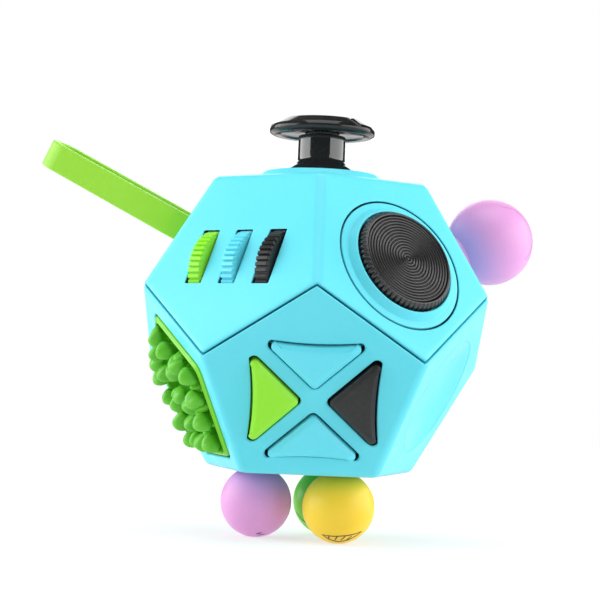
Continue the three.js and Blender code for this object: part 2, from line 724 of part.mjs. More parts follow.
// Rocker switch
piece(
  "rocker_frame",
  cut(
    joined(
      prism(rectangle(9.6, 13.6, [0, 0], 1.2), -0.5, 0.5),
      prism(rectangle(8, 12), -6, 0),
    ),
    prism(rectangle(5.8, 10), -5, 2),
    crossRod(0.7 + GAP, 20, "x", [0, 0, ROCKER_AXIS], 16),
  ),
  skin(0x5fd2de, 0.35),
  groups.rocker,
);
const rockerSide = [[-4.4, -3.2], [4.4, -3.2], [4.4, 1.4], [3.9, 1.8], [0, 1.0], [-3.9, 1.8], [-4.4, 1.4]];
const rockerBody = cut(
  prism(rockerSide, -2.5, 2.5).rotate([90, 0, 0]).rotate([0, 0, 90]),
  crossRod(0.7 + GAP, 20, "x", [0, 0, ROCKER_AXIS], 16),
);
piece(
  "rocker_switch",
  rockerBody
    .translate([0, 0, -ROCKER_AXIS])
    .rotate([-ROCKER_TILT, 0, 0])
    .translate([0, 0, ROCKER_AXIS]),
  skin(0x1e2123, 0.35),
  groups.rocker,
);
piece(
  "rocker_pin",
  crossRod(0.7, 7.4, "x", [0, 0, ROCKER_AXIS], 16),
  skin(STEEL, 0.3, 1),
  groups.rocker,
);

// Slider
piece(
  "slider_knob",
  joined(
    turned([[0, GAP], [3.7, GAP], [3.7, 1.9], [3.2, 2.4], [2.4, 2.1], [0, 1.9]], 40),
    rod(1.3, -4.2, 1, [0, 0], 24),
  ),
  skin(0x9af03c, 0.35),
  groups.slider,
);
piece(
  "slider_clip",
  turned([[1.6, -3.4], [3.2, -3.4], [3.2, -2.4], [1.6, -2.4], [1.6, -3.4]], 32),
  skin(STEEL, 0.3, 1),
  groups.slider,
);

// Spinner
piece(
  "spinner_cup",
  turned([
    [1.5, -4.2], [11.6, -4.2], [11.6, flangeTop], [PANEL_RADIUS, flangeTop], [PANEL_RADIUS, 0.2],
    [9.9, 0.2], [9.9, -3.0], [1.5, -3.0], [1.5, -4.2],
  ], 40),
  skin(0x5fd2de, 0.35),
  groups.spinner,
);
const lobes = around(3, (k) => {
  const angle = Math.PI / 2 + (2 * Math.PI * k) / 3;
  const reach = SPINNER_RADIUS - 3.2;
  return rod(3.2, -2.4, -0.4, [reach * Math.cos(angle), reach * Math.sin(angle)], 28);
});
piece(
  "spinner_rotor",
  cut(joined(rod(4.6, -2.4, -0.4, [0, 0], 32), ...lobes), rod(1.5, -3, 1, [0, 0], 24)),
  skin(0xfdf64c, 0.35),
  groups.spinner,
);
piece(
  "spinner_pin",
  turned([[0, -5.2], [1.2, -5.2], [1.2, -0.1], [2.4, -0.1], [2.4, 0.5], [1.9, 0.9], [0, 1.0]], 24),
  skin(STEEL, 0.3, 1),
  groups.spinner,
);

// The toy stands on its three small balls with its bottom centre at the origin
toy.updateMatrixWorld(true);
const bounds = new THREE.Box3().setFromObject(toy, true);
const centre = bounds.getCenter(new THREE.Vector3());
toy.position.set(-centre.x, -centre.y, -bounds.min.z);

export default toy;
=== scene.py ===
import math
import random

import bmesh
import bpy
from mathutils import Matrix, Vector, geometry


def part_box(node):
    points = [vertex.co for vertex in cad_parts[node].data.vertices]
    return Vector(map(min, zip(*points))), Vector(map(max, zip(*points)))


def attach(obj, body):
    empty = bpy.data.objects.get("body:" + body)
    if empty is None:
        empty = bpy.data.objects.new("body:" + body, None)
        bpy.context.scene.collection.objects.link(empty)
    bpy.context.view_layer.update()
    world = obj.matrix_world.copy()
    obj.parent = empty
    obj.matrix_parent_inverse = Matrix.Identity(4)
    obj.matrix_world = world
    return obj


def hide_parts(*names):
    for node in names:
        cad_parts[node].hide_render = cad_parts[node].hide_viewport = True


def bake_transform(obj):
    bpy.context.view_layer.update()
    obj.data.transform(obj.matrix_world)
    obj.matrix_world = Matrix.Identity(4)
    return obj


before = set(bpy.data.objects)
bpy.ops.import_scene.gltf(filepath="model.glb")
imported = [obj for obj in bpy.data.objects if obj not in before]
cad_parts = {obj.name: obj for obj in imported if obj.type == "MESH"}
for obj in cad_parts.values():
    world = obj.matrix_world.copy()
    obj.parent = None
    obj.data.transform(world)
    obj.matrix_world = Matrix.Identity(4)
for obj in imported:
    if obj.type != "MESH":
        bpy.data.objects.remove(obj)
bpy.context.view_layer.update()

MM = 0.001
TAU = 2 * math.pi

# ---------------------------------------------------------------- body frame, in millimetres
upper_low, upper_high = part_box("upper_shell")
lower_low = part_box("lower_shell")[0]
COLLAR_HEIGHT = 1.4
FACE_DISTANCE = ((upper_high[2] - lower_low[2]) / MM - COLLAR_HEIGHT) / 2
EDGE = FACE_DISTANCE / 1.1135163644
CENTRE = Vector(
    (
        (upper_low[0] + upper_high[0]) / 2,
        (upper_low[1] + upper_high[1]) / 2,
        lower_low[2] + FACE_DISTANCE * MM,
    )
) / MM
FACE_CORNER = 0.8506508084 * EDGE
BELT_RADIUS = 1.3763819205 * EDGE
BELT_HEIGHT = 0.2628655561 * EDGE
TILT = math.degrees(math.atan(0.5))
WALL = 2.0
GAP = 0.3
EDGE_ROUND = 1.8
LIP_ROUND = 0.22


class Face:
    """One pentagonal face: x right, y up and z outwards as seen from outside, 0 on the face."""

    def __init__(self, azimuth, elevation):
        a, e = math.radians(azimuth), math.radians(elevation)
        self.n = Vector((math.cos(e) * math.sin(a), -math.cos(e) * math.cos(a), math.sin(e)))
        self.u = Vector((math.cos(a), math.sin(a), 0))
        self.v = self.n.cross(self.u)
        self.upper = elevation > 0

    def place(self, p):
        """A point of the face's frame in the row frame, in metres."""
        local = self.u * p[0] + self.v * p[1] + self.n * (FACE_DISTANCE + p[2])
        return (CENTRE + local) * MM

    def turn(self, d):
        return self.u * d[0] + self.v * d[1] + self.n * d[2]

    def flat(self, p):
        """A point given from the body's centre, as x and y on the face."""
        return (p.dot(self.u), p.dot(self.v))


FACES = {
    "joystick": Face(0, 90),
    "wheels": Face(-36, TILT),
    "dial": Face(36, TILT),
    "ball": Face(108, TILT),
    "strap": Face(-108, TILT),
    "rocker": Face(180, TILT),
    "buttons": Face(0, -TILT),
    "nubs": Face(-72, -TILT),
    "thumb": Face(72, -TILT),
    "slider": Face(144, -TILT),
    "spinner": Face(-144, -TILT),
    "feet": Face(0, -90),
}


# ---------------------------------------------------------------- outlines
def rounded(corners, radius, steps=6):
    """The closed outline of a polygon, anticlockwise, with every corner rounded."""
    points = []
    for i, corner in enumerate(corners):
        c = Vector(corner)
        a = (Vector(corners[i - 1]) - c).normalized()
        b = (Vector(corners[(i + 1) % len(corners)]) - c).normalized()
        half = math.acos(max(-1, min(1, a.dot(b)))) / 2
        r = radius[i] if isinstance(radius, (list, tuple)) else radius
        middle = c + (a + b).normalized() * (r / math.sin(half))
        start = c + a * (r / math.tan(half)) - middle
        end = c + b * (r / math.tan(half)) - middle
        begin = math.atan2(start.y, start.x)
        sweep = math.atan2(start.x * end.y - start.y * end.x, start.dot(end))
        for k in range(steps + 1):
            t = begin + sweep * k / steps
            points.append((middle.x + r * math.cos(t), middle.y + r * math.sin(t)))
    return points


def circle(radius, steps, at=(0, 0)):
    return [
        (at[0] + radius * math.cos(TAU * k / steps), at[1] + radius * math.sin(TAU * k / steps))
        for k in range(steps)
    ]


def outward(points):
    """Unit normals of a closed anticlockwise outline, pointing out, with the stretch that keeps
    an offset even."""
    normals = []
    n = len(points)
    for i in range(n):
        before = Vector(points[i]) - Vector(points[i - 1])
        after = Vector(points[(i + 1) % n]) - Vector(points[i])
        a = Vector((before.y, -before.x)).normalized()
        b = Vector((after.y, -after.x)).normalized()
        m = (a + b).normalized()
        normals.append((m, 1 / max(0.5, m.dot(a))))
    return normals


def moved(points, dx, dy):
    return [(x + dx, y + dy) for x, y in points]


def spun(points, degrees):
    c, s = math.cos(math.radians(degrees)), math.sin(math.radians(degrees))
    return [(x * c - y * s, x * s + y * c) for x, y in points]


def rectangle(width, height, radius, steps=6):
    w, h = width / 2, height / 2
    return rounded([(-w, -h), (w, -h), (w, h), (-w, h)], radius, steps)


def pentagon(corner, radius, up=True, steps=8):
    start = 90 if up else -90
    corners = [
        (
            corner * math.cos(math.radians(start + 72 * k)),
            corner * math.sin(math.radians(start + 72 * k)),
        )
        for k in range(5)
    ]
    return rounded(corners, radius, steps)


# ---------------------------------------------------------------- meshes
class Build:
    """Faces with a normal at each corner, in a face's frame or from the body's centre."""

    def __init__(self, face=None):
        self.face = face
        self.polygons = []

    def add(self, points, normals=None, skin=0):
        place = self.face.place if self.face else lambda p: (CENTRE + Vector(p)) * MM
        spots = [place(p) for p in points]
        turned = None
        if normals is not None:
            turn = self.face.turn if self.face else Vector
            turned = [turn(n).normalized() for n in normals]
            if geometry.normal(spots).dot(sum(turned, Vector())) < 0:
                spots.reverse()
                turned.reverse()
        self.polygons.append((spots, turned, skin))

    def rings(self, rings, closed=True, skin=0):
        """Joins rings of (point, normal) pairs. Seen along the rings' own normals they run
        anticlockwise."""
        for low, high in zip(rings, rings[1:]):
            count = len(low)
            for k in range(count if closed else count - 1):
                j = (k + 1) % count
                quad = [low[k], low[j], high[j], high[k]]
                self.add([q[0] for q in quad], [q[1] for q in quad], skin)

    def object(self, name, weld=2e-6, sharp=None):
        bm = bmesh.new()
        layer = bm.loops.layers.float_vector.new("turned")
        for spots, normals, skin in self.polygons:
            if max((p - spots[0]).cross(q - spots[0]).length
                for p, q in zip(spots[1:], spots[2:])) < 1e-13:
                continue
            verts = [bm.verts.new(p) for p in spots]
            f = bm.faces.new(verts)
            f.smooth = True
            f.material_index = skin
            if normals:
                for loop, n in zip(f.loops, normals):
                    loop[layer] = n
        bmesh.ops.remove_doubles(bm, verts=bm.verts, dist=weld)
        bmesh.ops.dissolve_degenerate(bm, edges=bm.edges, dist=weld / 4)
        if sharp is not None:
            bmesh.ops.recalc_face_normals(bm, faces=bm.faces)
        mesh = bpy.data.meshes.new(name)
        bm.to_mesh(mesh)
        bm.free()
        if sharp is None:
            data = mesh.attributes["turned"].data
            normals = [tuple(d.vector) for d in data]
            mesh.normals_split_custom_set(normals)
        else:
            mesh.set_sharp_from_angle(angle=math.radians(sharp))
        mesh.attributes.remove(mesh.attributes["turned"])
        obj = bpy.data.objects.new(name, mesh)
        bpy.context.collection.objects.link(obj)
        if sharp is not None:
            weighted = obj.modifiers.new("weighted", "WEIGHTED_NORMAL")
            weighted.keep_sharp = True
            weighted.weight = 80
        return obj


def lathe(build, profile, steps, at=(0, 0), wave=None, skin=0, close=True):
    """Turns (radius, height) pairs about the local z axis. wave(angle, radius, height) may
    change a point."""
    rings = []
    for radius, z in profile:
        ring = []
        for k in range(steps):
            t = TAU * k / steps
            r, h = (radius, z) if wave is None else wave(t, radius, z)
            ring.append((at[0] + r * math.cos(t), at[1] + r * math.sin(t), h))
        rings.append(ring)
    stack(build, rings, cap_start=profile[0][0] > 1e-6, cap_end=profile[-1][0] > 1e-6, skin=skin,
        cap=close)


def stack(build, rings, cap_start=True, cap_end=True, skin=0, cap=True):
    """Joins rings of plain points, closing the two ends."""
    for low, high in zip(rings, rings[1:]):
        count = len(low)
        for k in range(count):
            j = (k + 1) % count
            quad = []
            for p in (low[k], low[j], high[j], high[k]):
                if not quad or (Vector(p) - Vector(quad[-1])).length > 1e-5:
                    quad.append(p)
            if len(quad) > 2 and (Vector(quad[0]) - Vector(quad[-1])).length < 1e-5:
                quad.pop()
            if len(quad) > 2:
                build.add(quad, None, skin)
    if cap and cap_start:
        build.add(list(reversed(rings[0])), None, skin)
    if cap and cap_end:
        build.add(rings[-1], None, skin)


def soften(profile, radii, steps=5):
    """Rounds the inner corners of an open (radius, height) profile."""
    out = [profile[0]]
    for i in range(1, len(profile) - 1):
        r = radii.get(i, 0) if isinstance(radii, dict) else radii
        p, c, q = Vector(profile[i - 1]), Vector(profile[i]), Vector(profile[i + 1])
        a, b = (p - c), (q - c)
        if r <= 0 or a.length < 1e-6 or b.length < 1e-6:
            out.append(profile[i])
            continue
        la, lb = a.length, b.length
        a.normalize()
        b.normalize()
        half = math.acos(max(-0.9999, min(0.9999, a.dot(b)))) / 2
        if half > math.radians(88):
            out.append(profile[i])
            continue
        cut = min(r / math.tan(half), la * 0.48, lb * 0.48)
        r = cut * math.tan(half)
        middle = c + (a + b).normalized() * (r / math.sin(half))
        start, end = c + a * cut - middle, c + b * cut - middle
        begin = math.atan2(start.y, start.x)
        sweep = math.atan2(start.x * end.y - start.y * end.x, start.dot(end))
        for k in range(steps + 1):
            t = begin + sweep * k / steps
            out.append((middle.x + r * math.cos(t), middle.y + r * math.sin(t)))
    out.append(profile[-1])
    return out


def pillow(build, shape, low, high, top=0.4, bottom=0.2, steps=6, skin=0, crown=0.0, edge=None):
    """A prism with rounded rims; shape(by) is its outline grown by that much, edge lists
    (inwards, down) pairs."""
    levels = []
    for k in range(4):
        t = math.pi / 2 * k / 3
        levels.append((-bottom * (1 - math.sin(t)), low + bottom * (1 - math.cos(t))))
    if edge is None:
        turns = [math.pi / 2 * k / steps for k in range(steps + 1)]
        edge = [(top * (1 - math.cos(t)), top * (1 - math.sin(t))) for t in turns]
    levels += [(-inwards, high - down) for inwards, down in edge]
    rings = [[(x, y, z) for x, y in shape(by)] for by, z in levels]
    last = rings[-1]
    cx = sum(p[0] for p in last) / len(last)
    cy = sum(p[1] for p in last) / len(last)
    for k in range(1, 5):
        t = k / 5
        rise = crown * (1 - (1 - t) ** 2)
        rings.append([(cx + (x - cx) * (1 - t), cy + (y - cy) * (1 - t), z + rise)
            for x, y, z in last])
    stack(build, rings, skin=skin)


def sweep_band(build, path, normals, side, width, thickness, corner=0.3):
    """A flat band along a path; normals point across its thickness and side along its width."""
    section = rectangle(width, thickness, corner, 3)
    rings = []
    for p, n in zip(path, normals):
        rings.append([tuple(Vector(p) + Vector(side) * a + Vector(n) * b) for a, b in section])
    stack(build, rings)


def triangles(outer, holes):
    """Triangles of a flat convex region with holes, as lists of points."""
    points, edges = [], []
    for loop in [outer] + holes:
        start = len(points)
        points += [Vector(p) for p in loop]
        edges += [(start + k, start + (k + 1) % len(loop)) for k in range(len(loop))]
    coords, _, faces, _, _, _ = geometry.delaunay_2d_cdt(points, edges, [], 0, 1e-7)

    def inside(p, loop):
        hit = False
        for k in range(len(loop)):
            (x1, y1), (x2, y2) = loop[k - 1], loop[k]
            if (y1 > p[1]) != (y2 > p[1]) and p[0] < (x2 - x1) * (p[1] - y1) / (y2 - y1) + x1:
                hit = not hit
        return hit

    kept = []
    for f in faces:
        corners = [coords[i] for i in f]
        middle = sum(corners, Vector((0, 0))) / len(corners)
        if inside(middle, outer) and not any(inside(middle, h) for h in holes):
            kept.append([(c.x, c.y) for c in corners])
    return kept


# ---------------------------------------------------------------- materials
def mix(rgb, other, t):
    return tuple(a + (b - a) * t for a, b in zip(rgb, other))


def plastic(
    name, rgb, rough, spread_rough=0.05, grain=0.05, grain_size=0.16, tone=0.035,
    coat=0.0, coat_rough=0.08, sub=0.0, specular=0.5, metal=0.0, brushed=False, wear=0.0,
):
    """A moulded surface: slow colour drift, fine mottle, uneven gloss and a fine moulded grain."""
    m = bpy.data.materials.new(name)
    m.use_nodes = True
    tree = m.node_tree
    nodes, links = tree.nodes, tree.links
    shader = nodes["Principled BSDF"]
    shader.inputs["Metallic"].default_value = metal
    shader.inputs["Specular IOR Level"].default_value = specular
    shader.inputs["Coat Weight"].default_value = coat
    shader.inputs["Coat Roughness"].default_value = coat_rough
    if sub:
        shader.inputs["Subsurface Weight"].default_value = sub
        shader.inputs["Subsurface Radius"].default_value = (0.6, 0.8, 0.5)
        shader.inputs["Subsurface Scale"].default_value = 1.2 * MM
    where = nodes.new("ShaderNodeTexCoord")

    def noise(scale, detail=3.0, stretch=None, rough_by=0.5):
        n = nodes.new("ShaderNodeTexNoise")
        n.inputs["Scale"].default_value = scale
        n.inputs["Detail"].default_value = detail
        n.inputs["Roughness"].default_value = rough_by
        if stretch:
            mapping = nodes.new("ShaderNodeMapping")
            mapping.inputs["Scale"].default_value = stretch
            links.new(where.outputs["Object"], mapping.inputs["Vector"])
            links.new(mapping.outputs["Vector"], n.inputs["Vector"])
        else:
            links.new(where.outputs["Object"], n.inputs["Vector"])
        return n.outputs["Fac"]

    def ramp(value, low, high, a=0.3, b=0.7):
        r = nodes.new("ShaderNodeMapRange")
        r.inputs["From Min"].default_value = a
        r.inputs["From Max"].default_value = b
        r.inputs["To Min"].default_value = low
        r.inputs["To Max"].default_value = high
        links.new(value, r.inputs["Value"])
        return r.outputs["Result"]

    slow = noise(55, 2.0)
    fine = noise(1400, 3.0)
    both = nodes.new("ShaderNodeMath")
    both.operation = "MULTIPLY_ADD"
    links.new(fine, both.inputs[0])
    both.inputs[1].default_value = 0.35
    links.new(slow, both.inputs[2])
    shade = nodes.new("ShaderNodeMix")
    shade.data_type = "RGBA"
    shade.inputs["A"].default_value = (*mix(rgb, (0, 0, 0), tone), 1)
    shade.inputs["B"].default_value = (*mix(rgb, (1, 1, 1), tone * 0.6), 1)
    links.new(ramp(both.outputs[0], 0, 1, 0.45, 0.9), shade.inputs["Factor"])
    colour = shade.outputs["Result"]
    if wear:
        scuffs = noise(260, 6.0, (1, 1, 5), 0.75)
        rubbed = nodes.new("ShaderNodeMix")
        rubbed.data_type = "RGBA"
        rubbed.inputs["B"].default_value = (*mix(rgb, (1, 1, 1), 0.25), 1)
        links.new(colour, rubbed.inputs["A"])
        links.new(ramp(scuffs, 0, wear, 0.66, 0.8), rubbed.inputs["Factor"])
        colour = rubbed.outputs["Result"]
    links.new(colour, shader.inputs["Base Color"])
    patchy = noise(320, 4.0, (1, 1, 6) if brushed else None)
    links.new(ramp(patchy, rough - spread_rough, rough + spread_rough), shader.inputs["Roughness"])
    bump = nodes.new("ShaderNodeBump")
    bump.inputs["Strength"].default_value = grain
    bump.inputs["Distance"].default_value = 0.03 * MM
    links.new(noise(1 / (grain_size * MM), 4.0, (1, 1, 12) if brushed else None),
        bump.inputs["Height"])
    links.new(bump.outputs["Normal"], shader.inputs["Normal"])
    return m


AQUA = (0.109, 0.68, 0.80)
MATERIALS = {
    "body": plastic("aqua_moulded", AQUA, 0.36, grain=0.08, specular=0.28),
    # Painted shade: the shell's inner walls and the deep walls of its openings are the same aqua
    # plastic, coloured dark teal to stand for the shade inside them
    "painted_shade_inside": plastic("aqua_painted_shade", (0.012, 0.09, 0.11), 0.6, grain=0.1, specular=0.1),
    "panel": plastic("aqua_panel", AQUA, 0.34, grain=0.08, specular=0.28),
    "black_gloss": plastic("black_gloss", (0.005, 0.006, 0.007), 0.10, 0.03, grain=0.01, coat=0.5,
        wear=0.02),
    "black_cap": plastic("black_cap", (0.002, 0.003, 0.003), 0.11, 0.02, grain=0.01, specular=0.32,
        wear=0.01),
    "black_satin": plastic("black_satin", (0.009, 0.0095, 0.010), 0.36, 0.06, grain=0.12,
        specular=0.28),
    "dial_black": plastic("dial_black", (0.010, 0.010, 0.011), 0.33, 0.05, grain=0.06,
        specular=0.7),
    "blue": plastic("sky_blue_moulded", (0.115, 0.69, 0.82), 0.34, grain=0.08, specular=0.3),
    "green": plastic("lime_moulded", (0.27, 0.76, 0.02), 0.34, grain=0.08, specular=0.3),
    "yellow": plastic("yellow_moulded", (0.90, 0.64, 0.03), 0.34, grain=0.08, specular=0.3),
    "nubs": plastic("green_silicone", (0.11, 0.50, 0.015), 0.42, grain=0.16, sub=0.08,
        grain_size=0.2, specular=0.35),
    "pad_rim": plastic("lime_silicone", (0.17, 0.60, 0.015), 0.40, grain=0.12, specular=0.35),
    "strap": plastic("strap_silicone", (0.28, 0.64, 0.03), 0.44, grain=0.14, sub=0.08,
        specular=0.3),
    "lilac": plastic("lilac_silicone", (0.72, 0.33, 0.66), 0.42, grain=0.14, sub=0.1, specular=0.3),
    "yellow_soft": plastic("yellow_silicone", (0.88, 0.60, 0.025), 0.42, grain=0.14, sub=0.1,
        specular=0.3),
    "leaf": plastic("leaf_silicone", (0.16, 0.62, 0.03), 0.42, grain=0.14, sub=0.1, specular=0.3),
    "inner": plastic("natural_nylon", (0.62, 0.62, 0.58), 0.5, grain=0.2),
    "steel": plastic("drawn_steel", (0.62, 0.62, 0.64), 0.28, 0.08, grain=0.2, metal=1.0,
        brushed=True),
    "ink": plastic("dark_print", (0.05, 0.02, 0.05), 0.5, grain=0.1),
    "ink_brown": plastic("brown_print", (0.10, 0.05, 0.01), 0.5, grain=0.1),
    "ink_lilac": plastic("lilac_print", (0.50, 0.22, 0.50), 0.5, grain=0.1),
}


def finish_piece(obj, body, slot, *skins, stands_for=()):
    for key in skins:
        obj.data.materials.append(MATERIALS[key])
    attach(obj, body)
    if stands_for:
        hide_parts(*stands_for)
    return obj


# ---------------------------------------------------------------- body shells
ARC_STEPS = 7


def ring_of_corners(radius, z, start):
    out = []
    for k in range(5):
        t = math.radians(start + 72 * k)
        out.append(Vector((radius * math.sin(t), -radius * math.cos(t), z)))
    return out


CORNERS = (
    ring_of_corners(FACE_CORNER, FACE_DISTANCE, 0)
    + ring_of_corners(BELT_RADIUS, BELT_HEIGHT, 0)
    + ring_of_corners(BELT_RADIUS, -BELT_HEIGHT, 36)
    + ring_of_corners(FACE_CORNER, -FACE_DISTANCE, 36)
)
LIP_START = (GAP / 2 + LIP_ROUND) / (1 - LIP_ROUND / EDGE_ROUND)


def arc(a, b, t):
    """A unit direction part of the way from a to b."""
    angle = a.angle(b)
    if angle < 1e-9:
        return a.copy()
    return (a * math.sin((1 - t) * angle) + b * math.sin(t * angle)) / math.sin(angle)


def where_planes_meet(planes):
    """The point on three planes, each a normal and a distance."""
    m = Matrix([tuple(n) for n, _ in planes])
    return m.inverted() @ Vector([d for _, d in planes])


def trimmed(a, b, plane):
    """Along the arc from a to b, the last direction that keeps the lip's distance from a
    parting plane."""
    low, high = 0.0, 1.0
    for _ in range(50):
        t = (low + high) / 2
        if EDGE_ROUND * arc(a, b, t).dot(plane) > LIP_START:
            low = t
        else:
            high = t
    return arc(a, b, low)


def tile(build, face, holes):
    """One face of a shell: flat part, half of each rounded edge, its share of the corners, the
    lip on the parting line and the inner wall."""
    n = face.n
    corners = [c for c in CORNERS if abs(c.dot(n) - FACE_DISTANCE) < 1e-3]
    corners.sort(key=lambda c: math.atan2(c.dot(face.v), c.dot(face.u)))
    across = []
    for k in range(5):
        middle = (corners[k] + corners[(k + 1) % 5]) / 2
        others = [f for f in FACES.values() if f is not face]
        across.append(max(others, key=lambda f: f.n.dot(middle)))
    parting = [f.upper != face.upper for f in across]
    planes = [(n - f.n).normalized() for f in across]
    inset = (FACE_DISTANCE - EDGE_ROUND) / FACE_DISTANCE
    steps = ARC_STEPS
    inner_corners = []
    flat_corners = []
    for k in range(5):
        before, after = (k - 1) % 5, k
        corner = corners[k]
        ball = corner * inset
        flat_corners.append(ball + n * EDGE_ROUND)
        out = corner.normalized()
        seam_before = (n + across[before].n).normalized()
        seam_after = (n + across[after].n).normalized()
        end_before = trimmed(n, seam_before, planes[before]) if parting[before] else seam_before
        end_after = trimmed(n, seam_after, planes[after]) if parting[after] else seam_after
        other_plane = (across[before].n - across[after].n).normalized()
        if parting[before] and parting[after]:
            end_out = trimmed(n, out, planes[after])
            walls = [planes[before], planes[after]]
        elif parting[after]:
            end_out = trimmed(seam_before, out, planes[after])
            walls = [planes[after], other_plane]
        elif parting[before]:
            end_out = trimmed(seam_after, out, planes[before])
            walls = [planes[before], -other_plane]
        else:
            end_out = out
            walls = []
        grid = []
        for i in range(steps + 1):
            low = arc(n, end_after, i / steps)
            high = arc(end_before, end_out, i / steps)
            grid.append([arc(low, high, j / steps) for j in range(steps + 1)])
        for i in range(steps):
            for j in range(steps):
                ds = [grid[i][j], grid[i + 1][j], grid[i + 1][j + 1], grid[i][j + 1]]
                build.add([ball + d * EDGE_ROUND for d in ds], ds)
        # inner corner: where the inner wall meets its neighbours or the parting planes
        conditions = [(n, FACE_DISTANCE - WALL)]
        for side, other in ((before, across[before]), (after, across[after])):
            if parting[side]:
                conditions.append((planes[side], GAP / 2))
            else:
                conditions.append((other.n, FACE_DISTANCE - WALL))
        inner = where_planes_meet(conditions)
        inner_corners.append(inner)
        # the lip round the corner's share of the parting line
        if walls:
            slant = -(walls[0] + walls[1]) / (1 + walls[0].dot(walls[1]))
            runs = []
            if parting[after]:
                runs.append(([grid[steps][j] for j in range(steps + 1)], -planes[after]))
            if parting[before]:
                runs.append(([grid[i][steps] for i in range(steps + 1)], -planes[before]))
            for directions, straight in runs:
                sides = [straight.lerp(slant, j / steps) for j in range(steps + 1)]
                rows = lip_rows([ball + d * EDGE_ROUND for d in directions], directions, sides)
                build.rings(rows, closed=False)
                last = rows[-1]
                for j in range(steps):
                    build.add([last[j][0], last[j + 1][0], inner], [straight] * 3)
    for k in range(5):
        j = (k + 1) % 5
        ends = (corners[k] * inset, corners[j] * inset)
        seam = (n + across[k].n).normalized()
        stop = trimmed(n, seam, planes[k]) if parting[k] else seam
        rows = [arc(n, stop, i / steps) for i in range(steps + 1)]
        for a, b in zip(rows, rows[1:]):
            points = [ends[0] + a * EDGE_ROUND, ends[0] + b * EDGE_ROUND, ends[1] + b * EDGE_ROUND,
                ends[1] + a * EDGE_ROUND]
            build.add(points, [a, b, b, a])
        if parting[k]:
            edge = [ends[0] + stop * EDGE_ROUND, ends[1] + stop * EDGE_ROUND]
            rows = lip_rows(edge, [stop, stop], [-planes[k], -planes[k]])
            build.rings(rows, closed=False)
            last = rows[-1]
            build.add(
                [last[0][0], inner_corners[k], inner_corners[j], last[1][0]],
                [-planes[k]] * 4,
            )
    mouths = [h["rings"][0] for h in holes]
    floors = [h["rings"][-1] for h in holes if h["through"]]
    place = lambda p, z: n * (FACE_DISTANCE + z) + face.u * p[0] + face.v * p[1]
    flat = triangles([face.flat(c) for c in flat_corners], [[p[:2] for p, _ in m] for m in mouths])
    inside = triangles([face.flat(c) for c in inner_corners],
        [[p[:2] for p, _ in m] for m in floors])
    for tri in flat:
        build.add([place(p, 0) for p in tri], [n] * len(tri))
    # The inner wall takes skin 1, the dark teal painted shade
    for tri in inside:
        build.add([place(p, -WALL) for p in tri], [-n] * len(tri), 1)
    for hole in holes:
        rings = [[(place(p, p[2]), face.turn(d)) for p, d in ring] for ring in hole["rings"]]
        # The first rings of each opening keep the body colour; deeper down the wall takes skin 1,
        # dark teal painted shade for the inside of the hole
        lip = hole.get("lip", 6)
        build.rings(rings[:lip])
        build.rings(rings[lip - 1:], skin=1)
        if not hole["through"]:
            build.add([q[0] for q in rings[-1]], [q[1] for q in rings[-1]])


def lip_rows(points, directions, sides):
    """Rows that round over from the surface into the parting gap."""
    rows = []
    for k in range(5):
        t = math.pi / 2 * k / 4
        row = []
        for p, d, s in zip(points, directions, sides):
            angle = d.angle(s)
            a = angle * k / 4
            w1, w2 = math.sin(angle - a) / math.sin(angle), math.sin(a) / math.sin(angle)
            long = s.length
            side = s / long
            turned = d * w1 + side * w2
            stretch = 1 + (long - 1) * math.sin(t)
            row.append((p - d * LIP_ROUND + (d * w1 + side * w2 * stretch) * LIP_ROUND, turned))
        rows.append(row)
    return rows


# Openings in the shells: rings from the mouth on the face down to the inner wall
def opening(shape, fillet=0.25, levels=1):
    """An opening with a rounded mouth; shape(by, z) is its outline, grown by that much, at that
    depth."""
    rings = []
    for k in range(6):
        t = math.pi / 2 * k / 5
        z = -fillet * (1 - math.cos(t))
        base = shape(fillet * (1 - math.sin(t)), z)
        tilt = (math.sin(t), math.cos(t))
        rings.append(
            [((x, y, z), (-m.x * tilt[0], -m.y * tilt[0], tilt[1]))
                for (x, y), (m, _) in zip(base, outward(base))]
        )
    for k in range(1, levels + 1):
        z = -fillet - (WALL - fillet) * k / levels
        base = shape(0, z)
        rings.append([((x, y, z), (-m.x, -m.y, 0)) for (x, y), (m, _) in zip(base, outward(base))])
    return {"rings": rings, "through": True}


def turned_opening(profile, steps, at=(0, 0), through=True, lip=0):
    """A round opening from (radius, z) pairs, mouth first."""
    rings = []
    for i, (r, z) in enumerate(profile):
        before, after = profile[max(0, i - 1)], profile[min(len(profile) - 1, i + 1)]
        dr, dz = after[0] - before[0], after[1] - before[1]
        long = math.hypot(dr, dz)
        nr, nz = (0, 1) if i == 0 else (dz / long, -dr / long)
        ring = []
        for k in range(steps):
            c, s = math.cos(TAU * k / steps), math.sin(TAU * k / steps)
            ring.append(((at[0] + r * c, at[1] + r * s, z), (nr * c, nr * s, nz)))
        rings.append(ring)
    return {"rings": rings, "through": through, "lip": lip or steps}


def mouth(radius, fillet=0.22, at=(0, 0), steps=64, below=None):
    """A round opening of one radius with a rounded mouth, or going on down as below says."""
    profile = []
    for k in range(6):
        t = math.pi / 2 * k / 5
        profile.append((radius + fillet * (1 - math.sin(t)), -fillet * (1 - math.cos(t))))
    return turned_opening(profile + (below or [(radius, -WALL)]), steps, at, lip=6)


# Where the parts sit on their faces
WHEEL_RADIUS, WHEEL_DEPTH, WHEEL_WIDTH = 6.4, 4.95, 2.4
WHEEL_X = {"green": -6.4, "blue": -0.2, "black": 6.0}
WHEEL_Y = -0.65
DIAL_AT = (0.2, -0.95)
BUTTON_AT = (0.27, -1.5)
BUTTONS = {"top": 0, "left": 90, "bottom": 180, "right": 270}
BUTTON_SLOPE = 7.4 / 7.3
PAD_CORNER = 13.2
PAD_AT = (0, -0.9)
STRAP_AT = (0, 3.6)
LARGE_BALL_AT = (0, 0.4)
SMALL_BALLS = {"pink": 186, "yellow": 306, "green": 66}
SMALL_RADIUS, SMALL_HEIGHT, SMALL_CIRCLE = 5.46, 4.93, 7.96


